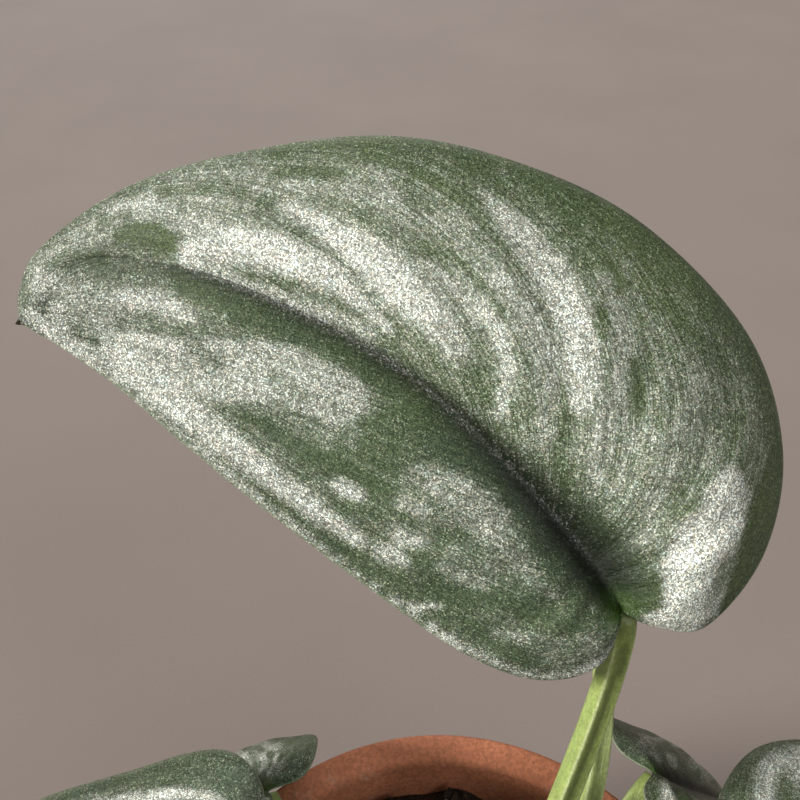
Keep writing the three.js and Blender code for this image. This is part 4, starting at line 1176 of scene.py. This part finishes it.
def new_leaf_mesh():
    """The rolled leaf: a spindle whose outer edge laps over the roll in a long spiral."""
    ends = vine_points("vine_middle", np.array([0.99, 1.0]))
    up = unit(ends[1] - ends[0])
    start = ends[1] + up * NEW_LEAF["gap"]
    end = start + unit(NEW_LEAF["lean"]) * NEW_LEAF["length"]
    middle = start + up * NEW_LEAF["length"] / 2 + np.array(NEW_LEAF["bow"])
    line = curve_through((start, middle, end), np.linspace(0, 1, NEW_LEAF["rows"] + 1))
    bm = limb_mesh()

    def lap(share, angle):
        """How far round the roll a point is from the lapping edge, from 0 to 1."""
        return (angle / (2 * math.pi) - NEW_LEAF["lap_start"] - NEW_LEAF["lap_turns"] * share) % 1

    def radius(share, angle):
        fullness = max(0.0, math.sin(math.pi * blend(NEW_LEAF["foot_share"], 1, share))) ** NEW_LEAF["blunt"]
        full = NEW_LEAF["tip_radius"] + NEW_LEAF["radius"] * fullness
        step = lap(share, angle)
        edge = float(smooth(step, 0, NEW_LEAF["lap_edge"])) * (1 - step)
        return full * (NEW_LEAF["under_lap"] + NEW_LEAF["lap_out"] * edge)

    def marks(share, angle):
        return bell(lap(share, angle) - NEW_LEAF["seam_at"], NEW_LEAF["seam_width"]), 0.0, 0.0, 0.0

    limb(bm, line, radius, NEW_LEAF["first_side"], NEW_LEAF["columns"], marks)
    mesh = mesh_of(bm, "new_leaf_roll")
    mesh.attributes["channel"].name = "seam"
    close_up(mesh)
    return mesh


def spun(profile, sides):
    """A closed shape turned round Z from its profile of (radius, height) in mm, from axis to axis."""
    bm = bmesh.new()
    verts = [bm.verts.new((r * MM, 0, z * MM)) for r, z in profile]
    edges = [bm.edges.new(pair) for pair in zip(verts, verts[1:])]
    bmesh.ops.spin(
        bm, geom=verts + edges, cent=(0, 0, 0), axis=(0, 0, 1), angle=2 * math.pi, steps=sides,
        use_merge=True, use_duplicate=False)
    return bm


def arc(centre, radius, start, end, steps=6):
    """Points on an arc of the profile, with angles in degrees."""
    turns = [math.radians(start + (end - start) * k / steps) for k in range(steps + 1)]
    return [(centre[0] + radius * math.cos(t), centre[1] + radius * math.sin(t)) for t in turns]


def outer_radius(z):
    return blend(POT["base_radius"], POT["mouth_radius"], z / POT["height"])


def inner_radius(z):
    return outer_radius(z) - POT["wall"]


def steps_between(a, b, count):
    """The points that divide the way between two others into a count of steps."""
    return [(blend(a[0], b[0], k / count), blend(a[1], b[1], k / count)) for k in range(1, count)]


def pot_profile():
    """The pot's section, from the axis under it, over the band and the rim, to the axis inside."""
    band_foot = POT["height"] - POT["band_height"]
    r, foot = POT["edge_round"], POT["foot_round"]
    band_out = outer_radius(band_foot) + POT["band_proud"]
    rim_out = POT["mouth_radius"] + POT["band_proud"]
    inside_top = (inner_radius(POT["height"]) + r, POT["height"] - r)
    corner = (inner_radius(POT["floor"]) - r, POT["floor"] + r)
    profile = [(0, 0)]
    profile += arc((POT["base_radius"] - foot + POT["foot_out"], foot), foot, -90, 0)
    under_band = (outer_radius(band_foot - r), band_foot - r)
    profile += steps_between(profile[-1], under_band, POT["wall_rings"])
    profile += arc((outer_radius(band_foot) + r, band_foot - r), r, 180, 90, 4)
    profile += arc((band_out - r, band_foot + r), r, -90, 0)
    profile += steps_between(profile[-1], (rim_out, POT["height"] - r), POT["band_rings"])
    profile += arc((rim_out - r, POT["height"] - r), r, 0, 90)
    profile += arc(inside_top, r, 90, 180)
    inside_foot = (inner_radius(POT["floor"] + r), POT["floor"] + r)
    profile += steps_between(profile[-1], inside_foot, POT["inside_rings"])
    profile += arc(corner, r, 0, -90, 4)
    return profile + [(0, POT["floor"])]


def drill_object():
    """The three drain holes as one cutter."""
    bm = bmesh.new()
    for k in range(POT["drain_count"]):
        angle = 2 * math.pi * (k + POT["drain_turn"]) / POT["drain_count"]
        across, radius = POT["drain_circle"] * MM, POT["drain_radius"] * MM
        place = Matrix.Translation((across * math.cos(angle), across * math.sin(angle), 0))
        bmesh.ops.create_cone(
            bm, cap_ends=True, segments=POT["drain_sides"], radius1=radius, radius2=radius,
            depth=4 * POT["floor"] * MM, matrix=place)
    return into_scene("drill", mesh_of(bm, "drill"))


def wall_wave(high, angle):
    """How far the thrown wall stands out from its turned form, in mm."""
    height, fast, drift = WALL_WAVES["turning"]
    turned = height * math.sin(high * fast + drift * math.sin(angle))
    height, fast, start = WALL_WAVES["fine turning"]
    turned += height * math.sin(high * fast + start)
    height, round_it, start = WALL_WAVES["oval"]
    uneven = height * math.sin(round_it * angle + start)
    height, round_it, drift = WALL_WAVES["three-sided"]
    uneven += height * math.sin(round_it * angle + high * drift)
    return turned + uneven


def pot_mesh():
    """The pot: spun from its section, slightly out of true, and drilled."""
    bm = spun(pot_profile(), POT["sides"])
    bmesh.ops.remove_doubles(bm, verts=bm.verts, dist=DOUBLES)
    bmesh.ops.recalc_face_normals(bm, faces=bm.faces)
    for vert in bm.verts:
        across = math.hypot(vert.co.x, vert.co.y)
        on_axis, underside = across < DOUBLES, vert.co.z < MM
        if on_axis or underside:
            continue
        angle = math.atan2(vert.co.y, vert.co.x)
        vert.co.xy *= 1 + wall_wave(vert.co.z / MM, angle) * MM / across
    smooth_faces(bm)
    blank = into_scene("blank", mesh_of(bm, "blank"))
    drill = drill_object()
    cut = blank.modifiers.new("drain holes", "BOOLEAN")
    cut.operation, cut.solver, cut.object = "DIFFERENCE", "EXACT", drill
    ready = blank.evaluated_get(bpy.context.evaluated_depsgraph_get())
    mesh = bpy.data.meshes.new_from_object(ready)
    mesh.name = "clay_pot"
    for spare in (blank, drill):
        bpy.data.objects.remove(spare)
    return mesh


def soil_height(x, y):
    """The height of the soil's surface, without its crumbly relief."""
    edge = inner_radius(POT["height"] - SOIL["below_mouth"])
    heap = SOIL["heap"] * (1 - (math.hypot(x, y) / edge) ** 2)
    lumps = sum(h * math.sin(kx * x + ky * y + turn) for h, kx, ky, turn in SOIL["lumps"])
    return POT["height"] - SOIL["below_mouth"] + heap + lumps


def relief(kind, x, y):
    """How far one kind of the soil's relief stands up at a place, in mm."""
    height, waves, layer = RELIEF[kind]
    return height * noise.noise(Vector((x, y, layer)) * waves)


def soil_mesh():
    """The soil as one body with a crumbly surface."""
    top = POT["height"] - SOIL["below_mouth"]
    edge = inner_radius(top) - SOIL["gap"]
    bottom = POT["floor"] + SOIL["gap"] + POT["edge_round"]
    profile = [(0, bottom), (inner_radius(bottom) - SOIL["gap"] - POT["edge_round"] / 2, bottom)]
    profile += steps_between(profile[-1], (edge, top), SOIL["wall_rings"])
    profile += [(edge * (1 - k / SOIL["rings"]), top) for k in range(SOIL["rings"] + 1)]
    bm = spun(profile, SOIL["sides"])
    bmesh.ops.remove_doubles(bm, verts=bm.verts, dist=DOUBLES)
    for vert in bm.verts:
        if vert.co.z < (top - 0.01) * MM:
            continue
        x, y = vert.co.x / MM, vert.co.y / MM
        rim = math.hypot(x, y) / edge
        bumps = relief("crumbs", x, y) + relief("fine crumbs", x, y) + abs(relief("clods", x, y))
        calm = 1 - SOIL["rim_calm"] * float(smooth(rim, SOIL["calm_from"], 1))
        sag = SOIL["rim_sag"] * float(smooth(rim, SOIL["sag_from"], 1))
        z = soil_height(x, y) + bumps * calm - sag
        taper = (inner_radius(z) - SOIL["gap"]) / edge
        vert.co = (x * taper * MM, y * taper * MM, z * MM)
    bmesh.ops.recalc_face_normals(bm, faces=bm.faces)
    smooth_faces(bm)
    return mesh_of(bm, "soil_bed")


def soil_spots(rng, count, reach=0.96):
    """Seeded places on the soil's surface, clear of the vines."""
    edge = inner_radius(POT["height"] - SOIL["below_mouth"]) * reach
    feet = [np.array(points[1][:2]) for points in VINES.values()]
    spots = []
    while len(spots) < count:
        angle, across = rng.uniform(0, 2 * math.pi), edge * math.sqrt(rng.random())
        spot = np.array([across * math.cos(angle), across * math.sin(angle)])
        if min(np.linalg.norm(spot - foot) for foot in feet) > SOIL["vine_clear"]:
            spots.append((*spot, soil_height(*spot)))
    return spots


def tumbled(rng, place, lean_x, lean_y):
    """Where a loose piece lies: leaned about X and Y and spun about Z by seeded draws, at a place in mm."""
    over_x = Matrix.Rotation(rng.uniform(-lean_x, lean_x), 4, "X")
    over_y = Matrix.Rotation(rng.uniform(-lean_y, lean_y), 4, "Y")
    spin = Matrix.Rotation(rng.uniform(0, 2 * math.pi), 4, "Z")
    return Matrix.Translation([MM * value for value in place]) @ spin @ (over_x @ over_y)


def scattered(name, rng, kind):
    """Many small lumps on the soil, each turned, squashed and dented by a seeded draw."""
    bm = bmesh.new()
    for x, y, z in soil_spots(rng, kind["count"]):
        size = rng.uniform(*kind["sizes"])
        long, broad = rng.uniform(*LUMP["long"]), rng.uniform(*LUMP["broad"])
        squash = Matrix.Diagonal((long, broad, kind["flatness"] * rng.uniform(*LUMP["flat"]), 1))
        lie = tumbled(rng, (x, y, z + size * kind["raised"]), LUMP["lean"], LUMP["lean"])
        made = bmesh.ops.create_icosphere(bm, subdivisions=kind["faces"], radius=size * MM)["verts"]
        draw = rng.uniform(0, 100)
        for vert in made:
            dent = noise.noise(vert.co / (size * MM) * LUMP["dents"] + Vector((draw, 0, 0)))
            vert.co *= 1 + kind["rough"] * dent
        bmesh.ops.transform(bm, matrix=lie @ squash, verts=made)
    if kind["faces"] > 1:
        smooth_faces(bm)
    return mesh_of(bm, name)


def chips_mesh(rng):
    """Bark chips: thin broken blocks that lie at all angles."""
    bm = bmesh.new()
    for x, y, z in soil_spots(rng, CHIP["count"], CHIP["reach"]):
        long, broad, thick = (rng.uniform(*CHIP[side]) for side in ("long", "broad", "thick"))
        before = len(bm.verts)
        made = bmesh.ops.create_cube(bm, size=1)["verts"]
        edges = list({edge for vert in made for edge in vert.link_edges})
        bmesh.ops.subdivide_edges(bm, edges=edges, cuts=2, use_grid_fill=True)
        bm.verts.ensure_lookup_table()
        verts = bm.verts[before:]
        for vert in verts:
            draw = Vector(rng.uniform(-CHIP["ragged"], CHIP["ragged"], 3))
            narrow = 1 - CHIP["narrowing"] * abs(vert.co.x) * 2 * rng.uniform(*CHIP["broken"])
            vert.co = Vector((vert.co.x, vert.co.y * narrow, vert.co.z)) + draw
        shape = Matrix.Diagonal((long * MM, broad * MM, thick * MM, 1))
        lie = tumbled(rng, (x, y, z + thick * CHIP["raised"]), *CHIP["lean"])
        bmesh.ops.transform(bm, matrix=lie @ shape, verts=verts)
    bmesh.ops.recalc_face_normals(bm, faces=bm.faces)
    return mesh_of(bm, "bark_chips")


def soft_sun(name, place, spread, strength, colour):
    data = bpy.data.lights.new(name, "SUN")
    data.angle, data.energy, data.color = math.radians(spread), strength, colour
    lamp = into_scene(name, data)
    lamp.location = place
    lamp.rotation_euler = (-Vector(place)).to_track_quat("-Z", "Y").to_euler()


class SCINDAPSUS_OT_blades(Operator):
    """Makes the twelve leaf blades"""

    bl_idname = "scindapsus.blades"
    bl_label = "Leaf blades"

    def execute(self, context):
        settings = context.scene.scindapsus_leaf
        materials = (upper_face(settings), lower_face(settings))
        for number, leaf in enumerate(LEAVES):
            mesh = blade_mesh(leaf, number, settings)
            show(mesh, leaf["name"] + "_blade", materials, "blade", leaf["name"])
        return {"FINISHED"}


class SCINDAPSUS_OT_vines(Operator):
    """Makes the three vines with their stalks and air roots"""

    bl_idname = "scindapsus.vines"
    bl_label = "Vines and stalks"

    def execute(self, context):
        settings = context.scene.scindapsus_stalk
        skin = stalk_finish(settings)
        for name in VINES:
            show(vine_mesh(name, settings.channel_depth), name + "_skin", [skin], "vine", name)
        return {"FINISHED"}


class SCINDAPSUS_OT_new_leaf(Operator):
    """Makes the rolled new leaf"""

    bl_idname = "scindapsus.new_leaf"
    bl_label = "New leaf"

    def execute(self, context):
        skin = new_leaf_finish(context.scene.scindapsus_leaf)
        show(new_leaf_mesh(), "new_leaf_roll", [skin], "new_leaf", "new_leaf")
        return {"FINISHED"}


class SCINDAPSUS_OT_pot(Operator):
    """Makes the clay pot"""

    bl_idname = "scindapsus.pot"
    bl_label = "Clay pot"

    def execute(self, context):
        show(pot_mesh(), "clay_pot", [clay_finish(context.scene.scindapsus_pot)], "clay", "pot")
        return {"FINISHED"}


class SCINDAPSUS_OT_soil(Operator):
    """Makes the potting soil with its crumbs, perlite and bark"""

    bl_idname = "scindapsus.soil"
    bl_label = "Potting soil"

    def execute(self, context):
        rng = np.random.default_rng(context.scene.scindapsus_pot.seed)
        peat = soil_finish()
        show(soil_mesh(), "soil_bed", [peat], "soil", "soil")
        show(scattered("soil_crumbs", rng, CRUMBS), "soil_crumbs", [peat], "soil")
        show(scattered("perlite_grains", rng, PERLITE), "perlite_grains", [perlite_finish()], "soil")
        show(chips_mesh(rng), "bark_chips", [bark_finish()], "soil")
        return {"FINISHED"}


class SCINDAPSUS_OT_stage(Operator):
    """Makes the camera, the soft lights and the plain floor"""

    bl_idname = "scindapsus.stage"
    bl_label = "Camera, lights and floor"

    def execute(self, context):
        settings, scene = context.scene.scindapsus_stage, context.scene
        camera = into_scene("camera", bpy.data.cameras.new("camera"))
        camera.data.lens, camera.data.sensor_width = settings.lens, STAGE["film"]
        camera.data.clip_start = STAGE["near"] * MM
        camera.location = [MM * value for value in STAGE["camera"]]
        camera.rotation_euler = (math.radians(90 - STAGE["looks_down"]), 0, 0)
        scene.camera = camera

        bm = bmesh.new()
        bmesh.ops.create_grid(bm, x_segments=2, y_segments=2, size=STAGE["floor_reach"] * MM)
        floor = into_scene("floor", mesh_of(bm, "floor"))
        floor.data.materials.append(floor_finish(settings))

        for facts in LIGHTS:
            soft_sun(*facts)
        world = bpy.data.worlds.new("studio")
        world.use_nodes = True
        inputs = world.node_tree.nodes["Background"].inputs
        inputs["Color"].default_value = STAGE["world"]
        inputs["Strength"].default_value = STAGE["world_strength"]
        scene.world = world
        scene.view_settings.view_transform = "Standard"
        return {"FINISHED"}


class SCINDAPSUS_PT_panel(Panel):
    """The sidebar panel with every piece of the plant"""

    bl_label = "Potted scindapsus"
    bl_idname = "SCINDAPSUS_PT_panel"
    bl_space_type = "VIEW_3D"
    bl_region_type = "UI"
    bl_category = "Scindapsus"

    def draw(self, context):
        for maker in OPERATORS:
            self.layout.operator(maker.bl_idname)


SETTINGS = {
    "scindapsus_leaf": LeafSettings, "scindapsus_stalk": StalkSettings, "scindapsus_pot": PotSettings,
    "scindapsus_stage": StageSettings,
}
OPERATORS = (
    SCINDAPSUS_OT_stage, SCINDAPSUS_OT_blades, SCINDAPSUS_OT_vines, SCINDAPSUS_OT_new_leaf, SCINDAPSUS_OT_pot,
    SCINDAPSUS_OT_soil,
)
CLASSES = (*SETTINGS.values(), *OPERATORS, SCINDAPSUS_PT_panel)


def register():
    for item in CLASSES:
        bpy.utils.register_class(item)
    for name, group in SETTINGS.items():
        setattr(bpy.types.Scene, name, PointerProperty(type=group))


def unregister():
    for name in SETTINGS:
        delattr(bpy.types.Scene, name)
    for item in reversed(CLASSES):
        bpy.utils.unregister_class(item)


def main():
    register()
    bpy.ops.scindapsus.stage()
    bpy.ops.scindapsus.blades()
    bpy.ops.scindapsus.vines()
    bpy.ops.scindapsus.new_leaf()
    bpy.ops.scindapsus.pot()
    bpy.ops.scindapsus.soil()


if __name__ == "__main__":
    main()
